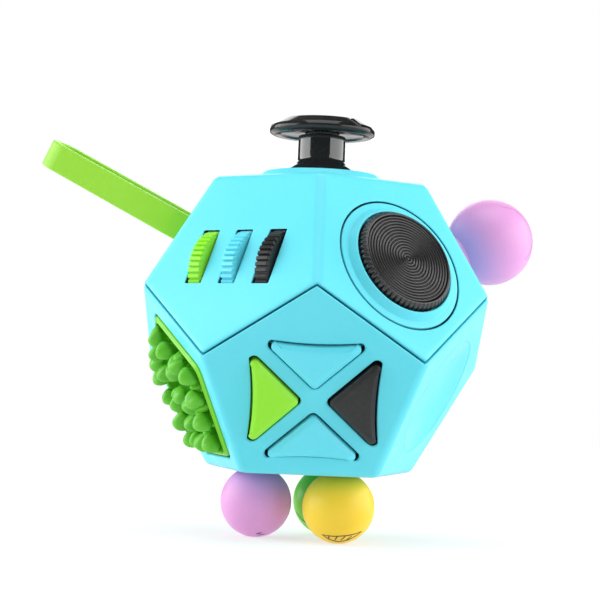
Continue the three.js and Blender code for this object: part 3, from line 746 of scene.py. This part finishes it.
def small_ball_at(name):
    t = math.radians(SMALL_BALLS[name])
    return (SMALL_CIRCLE * math.cos(t), -SMALL_CIRCLE * math.sin(t))


def wheel_slot(x):
    def shape(by, z):
        half = math.sqrt((WHEEL_RADIUS + 0.28) ** 2 - (WHEEL_DEPTH + z) ** 2)
        return moved(rectangle(3.0 + 2 * by, 2 * (half + by), 0.16 + by, 3), x, WHEEL_Y)

    return opening(shape, 0.13, 5)


def button_outline(by, z=0):
    """A triangle with its point at the middle of the cross and a hollow base."""
    lean = math.atan(BUTTON_SLOPE)
    apex = 2.0 - by / math.sin(lean)
    base = 9.3 + by
    half = (base - apex) * BUTTON_SLOPE
    corners = rounded([(0, apex), (half, base), (-half, base)], max(0.12, 0.7 + by * 0.5), 5)
    hollow = []
    for k in range(9):
        x = 0.8 - 0.2 * k
        hollow.append((x * half, base - 0.5 * (1 - (x / 0.88) ** 2)))
    return corners[:12] + hollow + corners[12:]


def button_shape(degrees, grow=0.0):
    return lambda by, z=0: moved(spun(button_outline(by + grow), degrees), *BUTTON_AT)


def box_shape(width, height, radius, at=(0, 0), steps=6):
    return lambda by, z=0: moved(rectangle(width + 2 * by, height + 2 * by, max(0.05, radius + by),
        steps), *at)


def pad_shape(inset=0.0, radius=1.8):
    def shape(by, z=0):
        corner = PAD_CORNER + (by - inset) / math.cos(math.pi / 5)
        return moved(pentagon(corner, radius + by - inset * 0.2, True, 8), *PAD_AT)

    return shape


def stepped(outer, inner, ledge, fillet):
    """An opening with a ledge part of the way down."""
    hole = opening(outer, fillet)
    rings = hole["rings"][:-1]
    for shape, z in ((outer, -ledge), (inner, -ledge), (inner, -WALL)):
        base = shape(0, z)
        side = [((x, y, z), (-m.x, -m.y, 0)) for (x, y), (m, _) in zip(base, outward(base))]
        flat = [(p, (0, 0, 1)) for p, _ in side]
        rings += {-ledge: [side, flat] if shape is outer else [flat, side], -WALL: [side]}[z]
    return {"rings": rings, "through": True, "lip": 8}


DISH_EDGE, DISH_DEPTH = 9.5, 1.3
DISH_SPHERE = (DISH_EDGE ** 2 + DISH_DEPTH ** 2) / (2 * DISH_DEPTH)


def dish_depth(r):
    return DISH_SPHERE - DISH_DEPTH - math.sqrt(DISH_SPHERE ** 2 - r ** 2)


dish = [(DISH_EDGE + 0.3 - 0.1 * k, -0.012 * k * k) for k in range(5)]
dish += [(DISH_EDGE * (1 - k / 19) - 0.3, dish_depth(DISH_EDGE * (1 - k / 19) - 0.3))
    for k in range(19)]
collar = [(10.1, 0), (9.94, 0.02), (9.8, 0.09), (9.68, 0.22), (9.55, 0.4), (9.02, 1.14),
    (8.95, 1.24), (8.86, 1.32)]
collar += [(8.74, 1.38), (8.58, COLLAR_HEIGHT), (7.55, COLLAR_HEIGHT), (7.40, 1.37), (7.31, 1.3),
    (7.3, 1.2)]
collar += [(math.sqrt(11.1 ** 2 - (7 + z) ** 2), z) for z in (1.05, 0.7, 0.3, -0.1, -0.6, -1.0,
    -1.5, -WALL)]
seat = [(3.10, 0), (2.99, -0.03), (2.85, -0.09), (2.70, -0.16), (2.62, -0.26), (2.6, -0.5),
    (2.6, -WALL)]

OPENINGS = {
    "joystick": [turned_opening(collar, 144, lip=14)],
    "wheels": [wheel_slot(x) for x in WHEEL_X.values()],
    "dial": [mouth(10.65, 0.14, DIAL_AT, 128)],
    "ball": [mouth(3.9, 0.25, LARGE_BALL_AT)],
    "strap": [opening(box_shape(7, 5, 0.5, STRAP_AT), 0.25)],
    "rocker": [stepped(box_shape(10.2, 14.2, 1.5), box_shape(8.6, 12.6, 0.5), 0.8, 0.2)],
    "buttons": [opening(button_shape(d, GAP), 0.2) for d in BUTTONS.values()],
    "nubs": [opening(pad_shape(), 0.3)],
    "thumb": [turned_opening(dish, 96, through=False)],
    "slider": [opening(box_shape(13, 3.4, 1.6), 0.2)],
    "spinner": [mouth(10.65, 0.2, steps=128)],
    "feet": [turned_opening(seat, 48, small_ball_at(name)) for name in SMALL_BALLS],
}
for half in ("upper", "lower"):
    build = Build()
    for name, face in FACES.items():
        if face.upper == (half == "upper"):
            tile(build, face, OPENINGS[name])
    shell = build.object("body_" + half)
    # Skin 1 of each shell is the dark teal painted shade of its insides
    finish_piece(shell, "shell", "body_plastic", "body", "painted_shade_inside",
        stands_for=(half + "_shell",))


# ---------------------------------------------------------------- joystick
def dome(radius, start, end, steps):
    out = []
    for k in range(steps + 1):
        t = math.radians(start + (end - start) * k / steps)
        out.append((radius * math.sin(t), -7 + radius * math.cos(t)))
    return out


def cap_notches(t, r, z):
    """Three small notches in the bevel round the cap's flat rim."""
    depth = 0
    for degrees in (72, 192, 312):
        away = (math.degrees(t) - degrees + 180) % 360 - 180
        reach = abs(math.radians(away)) * 7
        if reach < 0.5 and z > 8.6 and r > 5.8:
            depth = max(depth, 0.5 * (1 - (reach / 0.5) ** 4))
    return (r - depth * 0.75, z - depth * 0.45) if depth else (r, z)


cap_profile = soften(
    [
        (0.02, 8.75), (3.2, 8.85), (5.2, 9.3), (5.9, 9.7), (6.4, 9.7), (7.9, 8.72), (8.25, 8.15),
            (8.12, 7.6),
        (7.6, 7.3), (6.6, 7.36), (6.3, 7.62), (4.3, 7.78), (2.7, 7.78), (2.7, 8.3), (0.02, 8.3),
    ],
    {1: 3.0, 2: 1.0, 3: 0.3, 4: 0.22, 5: 0.35, 6: 0.5, 7: 0.4, 8: 0.35, 9: 0.15, 10: 0.15, 11: 0.3,
        12: 0.1, 13: 0.1},
    4,
)
cap = Build(FACES["joystick"])
lathe(cap, cap_profile, 288, wave=cap_notches)
finish_piece(cap.object("stick_cap", sharp=38), "stick", "black_gloss", "black_cap",
    stands_for=("joystick_cap",))

stem = Build(FACES["joystick"])
stem_profile = [(0.02, 8.0), (2.4, 8.0), (2.4, 7.3), (3.4, 7.3), (3.58, 7.25), (3.68, 7.15),
    (3.7, 7.0)]
stem_profile += [(3.7, 4.3), (3.71, 3.9), (3.76, 3.55), (3.88, 3.3), (4.08, 3.1), (4.34, 2.93)]
stem_profile += dome(10.7, 25, 65, 20) + dome(9.5, 65, 13, 10) + [(2.0, 0.5), (2.0, -12.3),
    (1.8, -12.5), (0.02, -12.5)]
lathe(stem, stem_profile, 128)


def pin(build, start, end, radius, steps=20):
    """A round pin with chamfered ends between two points of the build's frame."""
    a, b = Vector(start), Vector(end)
    along = (b - a).normalized()
    side = along.orthogonal().normalized()
    other = along.cross(side)
    length = (b - a).length
    chamfer = min(0.2, radius * 0.3)
    rings = []
    for r, h in ((radius - chamfer, 0), (radius, chamfer), (radius, length - chamfer),
        (radius - chamfer, length)):
        ring = []
        for k in range(steps):
            t = TAU * k / steps
            ring.append(tuple(a + along * h + (side * math.cos(t) + other * math.sin(t)) * r))
        rings.append(ring)
    stack(build, rings)


pin(stem, (0, -5.8, -7), (0, 5.8, -7), 0.7)
finish_piece(stem.object("stick_stem", sharp=35), "stick", "black_gloss", "black_gloss",
    stands_for=("joystick_stem",))


# ---------------------------------------------------------------- ridged wheels
WHEEL_RIDGES = 45


def bar(t):
    """The height of one rounded bar across its pitch, 1 on the bar and 0 in the groove."""
    s = abs((t * WHEEL_RIDGES / TAU) % 1 - 0.5) * 2
    return 1 - min(1, max(0, (s - 0.55) / 0.25)) ** 1.5


class Turned(Build):
    """A build whose local z axis lies along x of the face, at a wheel's axle."""

    def __init__(self, face, at):
        super().__init__(face)
        self.at = at

    def add(self, points, normals=None, skin=0):
        x0, y0, z0 = self.at
        super().add([(x0 + p[2], y0 + p[0], z0 + p[1]) for p in points], normals, skin)


def wheel_wave(t, r, z):
    if r < WHEEL_RADIUS - 0.5:
        return r, z
    side = min(1, max(0, (WHEEL_WIDTH / 2 - abs(z)) / 0.16))
    side = side * side * (3 - 2 * side)
    return r - 0.46 * (1 - bar(t) * side), z


half_width = WHEEL_WIDTH / 2
wheel_profile = [(1.3, -half_width + 0.5), (2.2, -half_width + 0.4), (2.4, -half_width),
    (5.4, -half_width)]
wheel_profile += [(WHEEL_RADIUS - 0.18, -half_width), (WHEEL_RADIUS - 0.05, -half_width + 0.04)]
wheel_profile += [(WHEEL_RADIUS, -half_width + d) for d in (0.12, 0.2, 0.28, 0.36, 0.8)]
wheel_profile += [(r, -z) for r, z in reversed(wheel_profile)]
for colour, key in (("green", "green"), ("blue", "blue"), ("black", "black_satin")):
    wheel = Turned(FACES["wheels"], (WHEEL_X[colour], WHEEL_Y, -WHEEL_DEPTH))
    lathe(wheel, wheel_profile + wheel_profile[:1], WHEEL_RIDGES * 12, wave=wheel_wave, close=False)
    finish_piece(
        wheel.object("wheel_" + colour + "_tread", sharp=50), "wheel_" + colour,
        {"green": "green_plastic", "blue": "blue_plastic", "black": "black_satin"}[colour],
        key, stands_for=("gear_wheel_" + colour,),
    )


# ---------------------------------------------------------------- dial
DIAL_TEETH = 60
RING_PITCH = 0.48


def dial_wave(t, r, z):
    if r < 7.3 or z < -0.05:
        return r, z
    s = (t * DIAL_TEETH / TAU) % 1
    groove = max(0, 1 - abs(s - 0.5) / 0.26)
    up = min(1, max(0, (2.08 - z) / 0.3))
    return r - 0.32 * groove ** 0.7 * up, z


dial_profile = [(0.02, 1.96), (0.16, 1.94), (0.27, 1.78), (0.34, 1.56)]
for k in range(1, 15):
    middle = k * RING_PITCH + 0.12
    for s in range(-3, 4):
        t = s / 3.5
        dial_profile.append((middle + t * RING_PITCH / 2,
            1.52 + 0.46 * math.cos(t * math.pi / 2) ** 0.7))
dial_profile += [(7.12, 1.56), (7.16, 1.9), (7.22, 2.05), (7.32, 2.1), (7.42, 2.08), (7.5, 2.01),
    (7.6, 1.9), (7.8, 1.67)]
dial_profile += [(7.9, 1.55), (7.95, 1.4), (7.95, 1.0), (7.95, 0.5), (7.95, 0.1), (7.85, 0),
    (2.0, 0), (2.0, -6.0)]
dial_profile += [(1.8, -6.2), (0.02, -6.2)]
dial = Build(FACES["dial"])
lathe(dial, dial_profile, DIAL_TEETH * 8, at=DIAL_AT, wave=dial_wave)
finish_piece(dial.object("dial_knob_ringed", sharp=60), "dial_knob", "black_satin", "dial_black",
    stands_for=("dial",))

panel_profile = soften(
    [(2.3, -3.2), (11.4, -3.2), (11.4, -2.4), (10.35, -2.35), (10.35, 0), (9.3, 0), (8.55, 1.1),
        (8.25, 1.1), (8.25, -0.4),
     (2.3, -0.4), (2.3, -3.2)],
    {4: 0.16, 5: 0.2, 6: 0.1, 7: 0.1},
)
panel = Build(FACES["dial"])
lathe(panel, panel_profile, 144, at=DIAL_AT, close=False)
finish_piece(panel.object("dial_surround", sharp=40), "shell", "panel_plastic", "panel",
    stands_for=("dial_panel",))


# ---------------------------------------------------------------- push buttons
BUTTON_SKINS = {"top": ("blue_plastic", "blue"), "left": ("green_plastic", "green"),
                "bottom": ("blue_plastic", "blue"), "right": ("black_satin", "black_satin")}
BUTTON_EDGE = [(0, 0.66), (0.02, 0.58), (0.07, 0.50), (0.15, 0.42), (0.56, 0.12), (0.66, 0.06),
    (0.78, 0.02), (0.95, 0)]
for where, degrees in BUTTONS.items():
    button = Build(FACES["buttons"])
    pillow(button, button_shape(degrees), -2.6, 1.0, bottom=0.1, crown=0.04, edge=BUTTON_EDGE)
    pillow(button, button_shape(degrees, 0.7), -3.1, -2.3, top=0.1, bottom=0.1, steps=2)
    (foot,) = moved(spun([(0, 6.6)], degrees), *BUTTON_AT)
    pin(button, (*foot, -6.6), (*foot, -2.9), 1.2, 28)
    slot, key = BUTTON_SKINS[where]
    name = "press_" + where
    finish_piece(button.object(name, sharp=55), "push_" + where, slot, key,
        stands_for=("button_" + where,))


# ---------------------------------------------------------------- soft nub pad
def ring_at(shape, z, by=0.0):
    return [(x, y, z) for x, y in shape(by)]


pad = Build(FACES["nubs"])
rim, well = pad_shape(0.3), pad_shape(1.1, 1.8)
pad_rings = [ring_at(pad_shape(-0.7), -3.2), ring_at(pad_shape(-0.7), -2.35), ring_at(rim, -2.3)]
pad_rings += [ring_at(rim, -0.1), ring_at(rim, 0.06, -0.05), ring_at(rim, 0.15, -0.14),
    ring_at(rim, 0.2, -0.3)]
pad_rings += [ring_at(well, 0.2, 0.5), ring_at(well, 0.24, 0.4), ring_at(well, 0.38, 0.32),
    ring_at(well, 0.42, 0.2)]
pad_rings += [ring_at(well, 0.34, 0.08), ring_at(well, 0.1, 0.01)]
stack(pad, pad_rings, cap_end=False)
floor_rings = [pad_rings[-1], ring_at(well, -1.2), ring_at(well, -1.45, -0.08),
    ring_at(well, -1.6, -0.3)]
stack(pad, floor_rings, cap_start=False, skin=1)


def nub(build, at, size, height, lean, turn):
    """A soft gumdrop: a narrow foot, a wide three-sided head and a rounded tip."""
    profile = [(0.60, 0.0), (0.50, 0.18), (0.50, 0.36), (0.66, 0.46), (0.88, 0.53), (1.0, 0.60),
        (0.99, 0.67)]
    profile += [(0.88, 0.78), (0.70, 0.88), (0.46, 0.955), (0.22, 0.99), (0.03, 1.0)]
    fine = []
    for (r0, h0), (r1, h1) in zip(profile, profile[1:]):
        fine += [(r0, h0), ((r0 + r1) / 2, (h0 + h1) / 2)]
    fine.append(profile[-1])
    foot = -1.9
    rings = []
    for r, h in fine:
        ring = []
        for k in range(32):
            t = TAU * k / 32
            swell = min(1, h * 1.6) * min(1, r * 1.5)
            lobe = 1 + (0.17 * math.cos(3 * (t - turn)) + 0.10 * math.cos(t - turn)) * swell
            x = at[0] + lean[0] * h * h + size * r * lobe * math.cos(t)
            y = at[1] + lean[1] * h * h + size * r * lobe * math.sin(t)
            ring.append((x, y, foot + (height - foot) * h + 0.22 * size * r * h * math.cos(t - turn)))
        rings.append(ring)
    stack(build, rings, skin=1)


chance = random.Random(12)
spots = [(0, 0)] + [spun([(0, 4.7)], 72 * k + 36)[0] for k in range(5)]
corners = [spun([(0, 9.6)], 72 * k)[0] for k in range(6)]
for near, far in zip(corners, corners[1:]):
    spots += [(near[0] + (far[0] - near[0]) * t / 3, near[1] + (far[1] - near[1]) * t / 3)
        for t in range(3)]
for x, y in spots:
    spot = (x + PAD_AT[0] + chance.uniform(-0.25, 0.25),
        y + PAD_AT[1] + chance.uniform(-0.25, 0.25))
    lean = (chance.uniform(-0.3, 0.3), chance.uniform(-0.3, 0.3))
    turn = chance.uniform(0, TAU)
    nub(pad, spot, chance.uniform(1.3, 1.5), chance.uniform(2.6, 3.1), lean, turn)
    low = (spot[0] * 0.94 - 1.4 * math.cos(turn) * 0.9, spot[1] * 0.94 - 1.4 * math.sin(turn) * 0.9)
    nub(pad, low, chance.uniform(0.8, 0.95), chance.uniform(1.4, 1.9), lean, turn + 2)
finish_piece(pad.object("nub_pad", sharp=50), "shell", "green_silicone", "pad_rim", "nubs",
    stands_for=("bristle_pad",))


# ---------------------------------------------------------------- strap
STRAP_WIDTH, STRAP_THICK, STRAP_HALF, STRAP_TIP = 4.4, 1.2, 3.6, 31.4


def strap_path():
    """The loop's middle line in the face's x, z plane: one leg up, round the tip, and back down."""
    half = STRAP_HALF - STRAP_THICK / 2
    leg = []
    for k in range(25):
        h = -1.2 + (STRAP_TIP - STRAP_HALF + 1.2) * k / 24
        t = min(1, max(0, (h - 0.6) / 6))
        leg.append((2.0 + (half - 2.0) * t * t * (3 - 2 * t), h))
    tip = []
    for k in range(1, 24):
        t = math.pi * k / 24
        tip.append((half * math.cos(t), STRAP_TIP - STRAP_HALF + half * math.sin(t)))
    return leg + tip + [(-x, h) for x, h in reversed(leg)]


path = strap_path()
spots, sideways = [], []
for i, (x, h) in enumerate(path):
    before, after = path[max(0, i - 1)], path[min(len(path) - 1, i + 1)]
    along = Vector((after[0] - before[0], after[1] - before[1])).normalized()
    spots.append((STRAP_AT[0] + x, STRAP_AT[1], h))
    sideways.append((along.y, 0, -along.x))
strap = Build(FACES["strap"])
sweep_band(strap, spots, sideways, (0, 1, 0), STRAP_WIDTH, STRAP_THICK, 0.28)
plug = box_shape(6.4, STRAP_WIDTH, 0.5, STRAP_AT)
pillow(strap, plug, -3.4, 0.5, top=0.3, bottom=0.1)
pillow(strap, box_shape(9.4, 6.8, 0.5, STRAP_AT), -3.4, -2.35, top=0.15, bottom=0.1)
strap_piece = strap.object("strap_band", sharp=50)
strap_piece.data.materials.append(MATERIALS["strap"])
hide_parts("strap_loop", "strap_anchor")
root = FACES["strap"].place((*STRAP_AT, 0.5))
free = FACES["strap"].place((*STRAP_AT, 3.2))
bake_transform(strap_piece)


# ---------------------------------------------------------------- balls
def ball_profile(radius, height, neck, flange, foot):
    out = []
    low = math.asin(foot / radius)
    high = math.pi - math.asin(neck / radius)
    if foot > 0.1:
        out += [(0.02, height + radius * math.cos(low)),
            (foot * 0.6, height + radius * math.cos(low))]
    for k in range(41):
        t = low + (high - low) * k / 40
        out.append((max(0.02, radius * math.sin(t)), height + radius * math.cos(t)))
    return out + [(neck, -2.2), (neck, -2.3), (flange, -2.3), (flange, -3.3), (0.02, -3.3)]


def stroke(build, centre, radius, points, width, skin=1):
    """A printed line on a ball: directions from its centre, laid a hair above the surface, with
    tapered ends."""
    path = [Vector(p).normalized() for p in points]
    smooth = []
    for a, b in zip(path, path[1:]):
        smooth += [arc(a, b, k / 6) for k in range(6)]
    smooth.append(path[-1])
    rings = []
    c = Vector(centre)
    for i, d in enumerate(smooth):
        along = (smooth[min(len(smooth) - 1, i + 1)] - smooth[max(0, i - 1)]).normalized()
        side = d.cross(along)
        t = i / (len(smooth) - 1)
        w = width / 2 * (0.35 + 0.65 * math.sin(math.pi * t) ** 0.6)
        rings.append([
            tuple(c + d * (radius - 0.04) - side * w), tuple(c + d * (radius - 0.04) + side * w),
            tuple(c + d * (radius + 0.025) + side * w * 0.8),
                tuple(c + d * (radius + 0.025) - side * w * 0.8),
        ])
    stack(build, rings, skin=skin)


def towards(face, azimuth, elevation):
    """A direction of the row frame, turned into the face's own frame."""
    a, e = math.radians(azimuth), math.radians(elevation)
    d = Vector((math.cos(e) * math.sin(a), -math.cos(e) * math.cos(a), math.sin(e)))
    return (d.dot(face.u), d.dot(face.v), d.dot(face.n))


def ball(name, face, at, profile, centre, radius, marks, body, slot, skin, ink, node):
    build = Build(face)
    lathe(build, profile, 96, at=at)
    for mark, width in marks:
        stroke(build, centre, radius, [towards(face, *m) for m in mark], width)
    finish_piece(build.object(name, sharp=40), body, slot, skin, ink, stands_for=(node,))


feet = FACES["feet"]
small = ball_profile(SMALL_RADIUS, SMALL_HEIGHT, 2.3, 3.4, 1.0)
grin = [(-38, -46), (-18, -48), (6, -47), (28, -44), (54, -36)]
jaw = [(-38, -46), (-24, -58), (2, -65), (32, -58), (54, -36)]
teeth = [([(a, -46), (a - 9, -60)], 0.24) for a in (-20, 0, 18, 34)]
marks = {
    "yellow": [(grin, 0.28), (jaw, 0.34)] + teeth,
    "pink": [([(6, -60), (22, -56)], 0.36), ([(14, -66), (36, -60)], 0.3)],
    "green": [([(-70, -20), (-58, -34), (-40, -42)], 0.3)],
}
finishes = {
    "pink": ("lilac_silicone", "lilac", "ink"),
    "yellow": ("yellow_silicone", "yellow_soft", "ink_brown"),
    "green": ("leaf_silicone", "leaf", "ink_brown"),
}
for colour, (slot, skin, ink) in finishes.items():
    at = small_ball_at(colour)
    ball("foot_ball_" + colour, feet, at, small, (*at, SMALL_HEIGHT), SMALL_RADIUS, marks[colour],
         "shell", slot, skin, ink, "ball_" + colour)
LARGE_RADIUS, LARGE_HEIGHT = 6.84, 10.25
large = ball_profile(LARGE_RADIUS, LARGE_HEIGHT, 3.6, 5.2, 0.05)
curl = [(16, 52), (48, 48), (68, 24), (76, 4), (70, -12), (58, -24)]
ball("side_ball_soft", FACES["ball"], LARGE_BALL_AT, large, (*LARGE_BALL_AT, LARGE_HEIGHT),
    LARGE_RADIUS,
     [(curl, 0.2)], "side_ball", "lilac_silicone", "lilac", "ink_lilac", "large_ball")


# ---------------------------------------------------------------- rocker switch
frame_rings = []
for shape, z, by in (
    (box_shape(8, 12, 0.5), -6, 0), (box_shape(8, 12, 0.5), -0.5, 0),
        (box_shape(9.6, 13.6, 1.2), -0.5, 0),
    (box_shape(9.6, 13.6, 1.2), 0.2, 0), (box_shape(9.6, 13.6, 1.2), 0.42, -0.09),
        (box_shape(9.6, 13.6, 1.2), 0.5, -0.3),
    (box_shape(5.8, 10, 0.4), 0.5, 0.3), (box_shape(5.8, 10, 0.4), 0.42, 0.09),
        (box_shape(5.8, 10, 0.4), 0.2, 0),
    (box_shape(5.8, 10, 0.4), -5, 0), (box_shape(5.8, 10, 0.4), -6, 0),
        (box_shape(8, 12, 0.5), -6, 0),
):
    frame_rings.append(ring_at(shape, z, by))
bezel = Build(FACES["rocker"])
stack(bezel, frame_rings, cap=False)
finish_piece(bezel.object("rocker_bezel", sharp=40), "shell", "panel_plastic", "panel",
    stands_for=("rocker_frame",))


class Tilted(Build):
    """The rocker's own frame: x and y are the face's y and z about its axle, z is the face's x."""

    def add(self, points, normals=None, skin=0):
        c, s = math.cos(math.radians(-8)), math.sin(math.radians(-8))
        spots = [(p[2], p[0] * c - (p[1] + 1.6) * s, p[0] * s + (p[1] + 1.6) * c - 1.6)
            for p in points]
        super().add(spots, normals, skin)


def rocker_side(by, z=0):
    side = [(-4.4 - by, -3.2 - by), (4.4 + by, -3.2 - by), (4.4 + by, 1.4 + by),
        (3.9 + by, 1.8 + by),
            (0, 1.0 + by), (-3.9 - by, 1.8 + by), (-4.4 - by, 1.4 + by)]
    return rounded(side, [0.3, 0.3, 0.25, 0.25, 3.0, 0.25, 0.25], 5)


rocker = Tilted(FACES["rocker"])
pillow(rocker, rocker_side, -2.5, 2.5, top=0.3, bottom=0.3)
finish_piece(rocker.object("rocker_paddle", sharp=40), "rocker", "black_satin", "black_satin",
    stands_for=("rocker_switch",))

# ---------------------------------------------------------------- slider
knob_profile = soften(
    [(0.02, 1.86), (2.3, 2.05), (3.1, 2.4), (3.45, 2.35), (3.7, 1.9), (3.7, 0.3), (1.3, 0.3),
        (1.3, -4.2), (0.02, -4.2)],
    {1: 1.2, 2: 0.4, 3: 0.3, 4: 0.4, 5: 0.2, 6: 0.2, 7: 0.2},
)


def grip(t, r, z):
    if r < 3.3 or z > 2.0:
        return r, z
    return r - 0.16 * (0.5 + 0.5 * math.cos(24 * t)) ** 2, z


knob = Build(FACES["slider"])
lathe(knob, knob_profile, 192, wave=grip)
finish_piece(knob.object("slide_button", sharp=45), "slider", "green_plastic", "green",
    stands_for=("slider_knob",))

# ---------------------------------------------------------------- spinner
cup_profile = soften(
    [(1.5, -4.2), (11.6, -4.2), (11.6, -2.3), (10.35, -2.3), (10.35, 0.2), (9.9, 0.2), (9.9, -3.0),
        (1.5, -3.0), (1.5, -4.2)],
    {4: 0.2, 5: 0.2, 6: 0.6},
)
cup = Build(FACES["spinner"])
lathe(cup, cup_profile, 128, close=False)
finish_piece(cup.object("spinner_dish", sharp=40), "shell", "panel_plastic", "panel",
    stands_for=("spinner_cup",))


def rotor_outline(by, z=0):
    """Three round lobes joined by hollow flanks."""
    out = []
    for k in range(180):
        t = TAU * k / 180
        lobe = (0.5 + 0.5 * math.cos(3 * (t - math.pi / 2))) ** 0.75
        r = 4.5 + (9.4 - 4.5) * lobe + by
        out.append((r * math.cos(t), r * math.sin(t)))
    return out


def hub(by):
    return circle(1.5 - by, 180)


rotor_rings = []
for shape, z, by in (
    (hub, -2.4, -0.15), (rotor_outline, -2.4, -0.25), (rotor_outline, -2.3, -0.08),
        (rotor_outline, -2.1, 0),
    (rotor_outline, -0.85, 0), (rotor_outline, -0.6, -0.09), (rotor_outline, -0.45, -0.25),
        (rotor_outline, -0.4, -0.5),
    (hub, -0.4, -0.2), (hub, -0.5, 0), (hub, -2.3, 0), (hub, -2.4, -0.15),
):
    rotor_rings.append(ring_at(shape, z, by))
rotor = Build(FACES["spinner"])
stack(rotor, rotor_rings, cap=False)
finish_piece(rotor.object("spinner_blade", sharp=40), "spinner", "yellow_plastic", "yellow",
    stands_for=("spinner_rotor",))

pin_profile = soften(
    [(0.02, 1.0), (1.7, 0.9), (2.4, 0.5), (2.4, -0.1), (1.2, -0.1), (1.2, -5.2), (0.02, -5.2)],
    {1: 1.0, 2: 0.35, 3: 0.1},
)
hub_pin = Build(FACES["spinner"])
lathe(hub_pin, pin_profile, 64)
finish_piece(hub_pin.object("spinner_hub", sharp=40), "shell", "steel", "steel",
    stands_for=("spinner_pin",))

# ---------------------------------------------------------------- parts kept from the CAD
INNER = ("yoke", "housing", "washer", "bracket", "plate", "retainer")
for name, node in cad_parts.items():
    key = "inner" if any(word in name for word in INNER) else "steel"
    node.data.materials.clear()
    node.data.materials.append(MATERIALS[key])


# ---------------------------------------------------------------- floor, light and camera
def stage_material(name, colour, rough, glow):
    m = bpy.data.materials.new(name)
    m.use_nodes = True
    shader = m.node_tree.nodes["Principled BSDF"]
    shader.inputs["Base Color"].default_value = (*colour, 1)
    shader.inputs["Roughness"].default_value = rough
    shader.inputs["Specular IOR Level"].default_value = 0.0
    shader.inputs["Emission Color"].default_value = (1, 1, 1, 1)
    shader.inputs["Emission Strength"].default_value = glow
    return m


bpy.ops.mesh.primitive_plane_add(size=0.9, location=(0, 0, 0))
floor = bpy.context.object
floor.name = "floor"
floor.data.materials.append(stage_material("floor_white", (0.4, 0.4, 0.4), 0.9, 0.58))

scene = bpy.context.scene
world = scene.world or bpy.data.worlds.new("studio")
scene.world = world
world.use_nodes = True
world.cycles.sampling_method = "NONE"
tree = world.node_tree
tree.nodes.clear()
seen = tree.nodes.new("ShaderNodeBackground")
seen.inputs["Color"].default_value = (1, 1, 1, 1)
seen.inputs["Strength"].default_value = 1.0
fill = tree.nodes.new("ShaderNodeBackground")
fill.inputs["Color"].default_value = (1, 1, 1, 1)
fill.inputs["Strength"].default_value = 0.26
glints = tree.nodes.new("ShaderNodeBackground")
glints.inputs["Color"].default_value = (1, 1, 1, 1)
glints.inputs["Strength"].default_value = 0.05
rays = tree.nodes.new("ShaderNodeLightPath")
dull = tree.nodes.new("ShaderNodeMixShader")
choose = tree.nodes.new("ShaderNodeMixShader")
output = tree.nodes.new("ShaderNodeOutputWorld")
tree.links.new(rays.outputs["Is Glossy Ray"], dull.inputs["Fac"])
tree.links.new(fill.outputs["Background"], dull.inputs[1])
tree.links.new(glints.outputs["Background"], dull.inputs[2])
tree.links.new(rays.outputs["Is Camera Ray"], choose.inputs["Fac"])
tree.links.new(dull.outputs["Shader"], choose.inputs[1])
tree.links.new(seen.outputs["Background"], choose.inputs[2])
tree.links.new(choose.outputs["Shader"], output.inputs["Surface"])


def softbox(name, azimuth, elevation, distance, size, strength):
    """An area light aimed at the body's centre."""
    a, e = math.radians(azimuth), math.radians(elevation)
    away = Vector((math.cos(e) * math.sin(a), -math.cos(e) * math.cos(a), math.sin(e)))
    light = bpy.data.lights.new(name, "AREA")
    light.shape = "RECTANGLE"
    light.size, light.size_y = size
    light.energy = strength
    lamp = bpy.data.objects.new(name, light)
    lamp.location = CENTRE * MM + away * distance
    lamp.rotation_euler = away.to_track_quat("Z", "Y").to_euler()
    bpy.context.collection.objects.link(lamp)


softbox("left_box", -92, 12, 0.6, (0.8, 0.6), 6.2)
softbox("right_box", 84, 12, 0.6, (1.1, 0.6), 6.6)
softbox("top_box", 0, 80, 0.6, (0.5, 0.5), 2.2)
softbox("back_box", 180, 25, 0.6, (0.4, 0.4), 1.2)
scene.view_settings.view_transform = "Standard"

# The camera looks along the photograph's direction with a long lens
AZIMUTH, ELEVATION, ROLL, DISTANCE = -0.289, -1.643, 2.329, 274.54
FOCAL, IMAGE, CENTRE_X, CENTRE_Y = 1774.1, 600, 314.454, 326.864
az, el, roll = (math.radians(v) for v in (AZIMUTH, ELEVATION, ROLL))
back = Vector((math.sin(az) * math.cos(el), -math.cos(az) * math.cos(el), math.sin(el)))
across_view = Vector((math.cos(az), math.sin(az), 0))
up_view = back.cross(across_view)
right_axis = across_view * math.cos(roll) + up_view * math.sin(roll)
up_axis = up_view * math.cos(roll) - across_view * math.sin(roll)
lens = bpy.data.cameras.new("camera")
lens.sensor_width = 36
lens.lens = FOCAL * 36 / IMAGE
lens.shift_x = (IMAGE / 2 - CENTRE_X) / IMAGE
lens.shift_y = (CENTRE_Y - IMAGE / 2) / IMAGE
lens.clip_start = 0.01
lens.clip_end = 20
camera = bpy.data.objects.new("camera", lens)
turn = Matrix((right_axis, up_axis, back)).transposed()
camera.matrix_world = Matrix.Translation((CENTRE + back * DISTANCE) * MM) @ turn.to_4x4()
bpy.context.collection.objects.link(camera)
scene.camera = camera
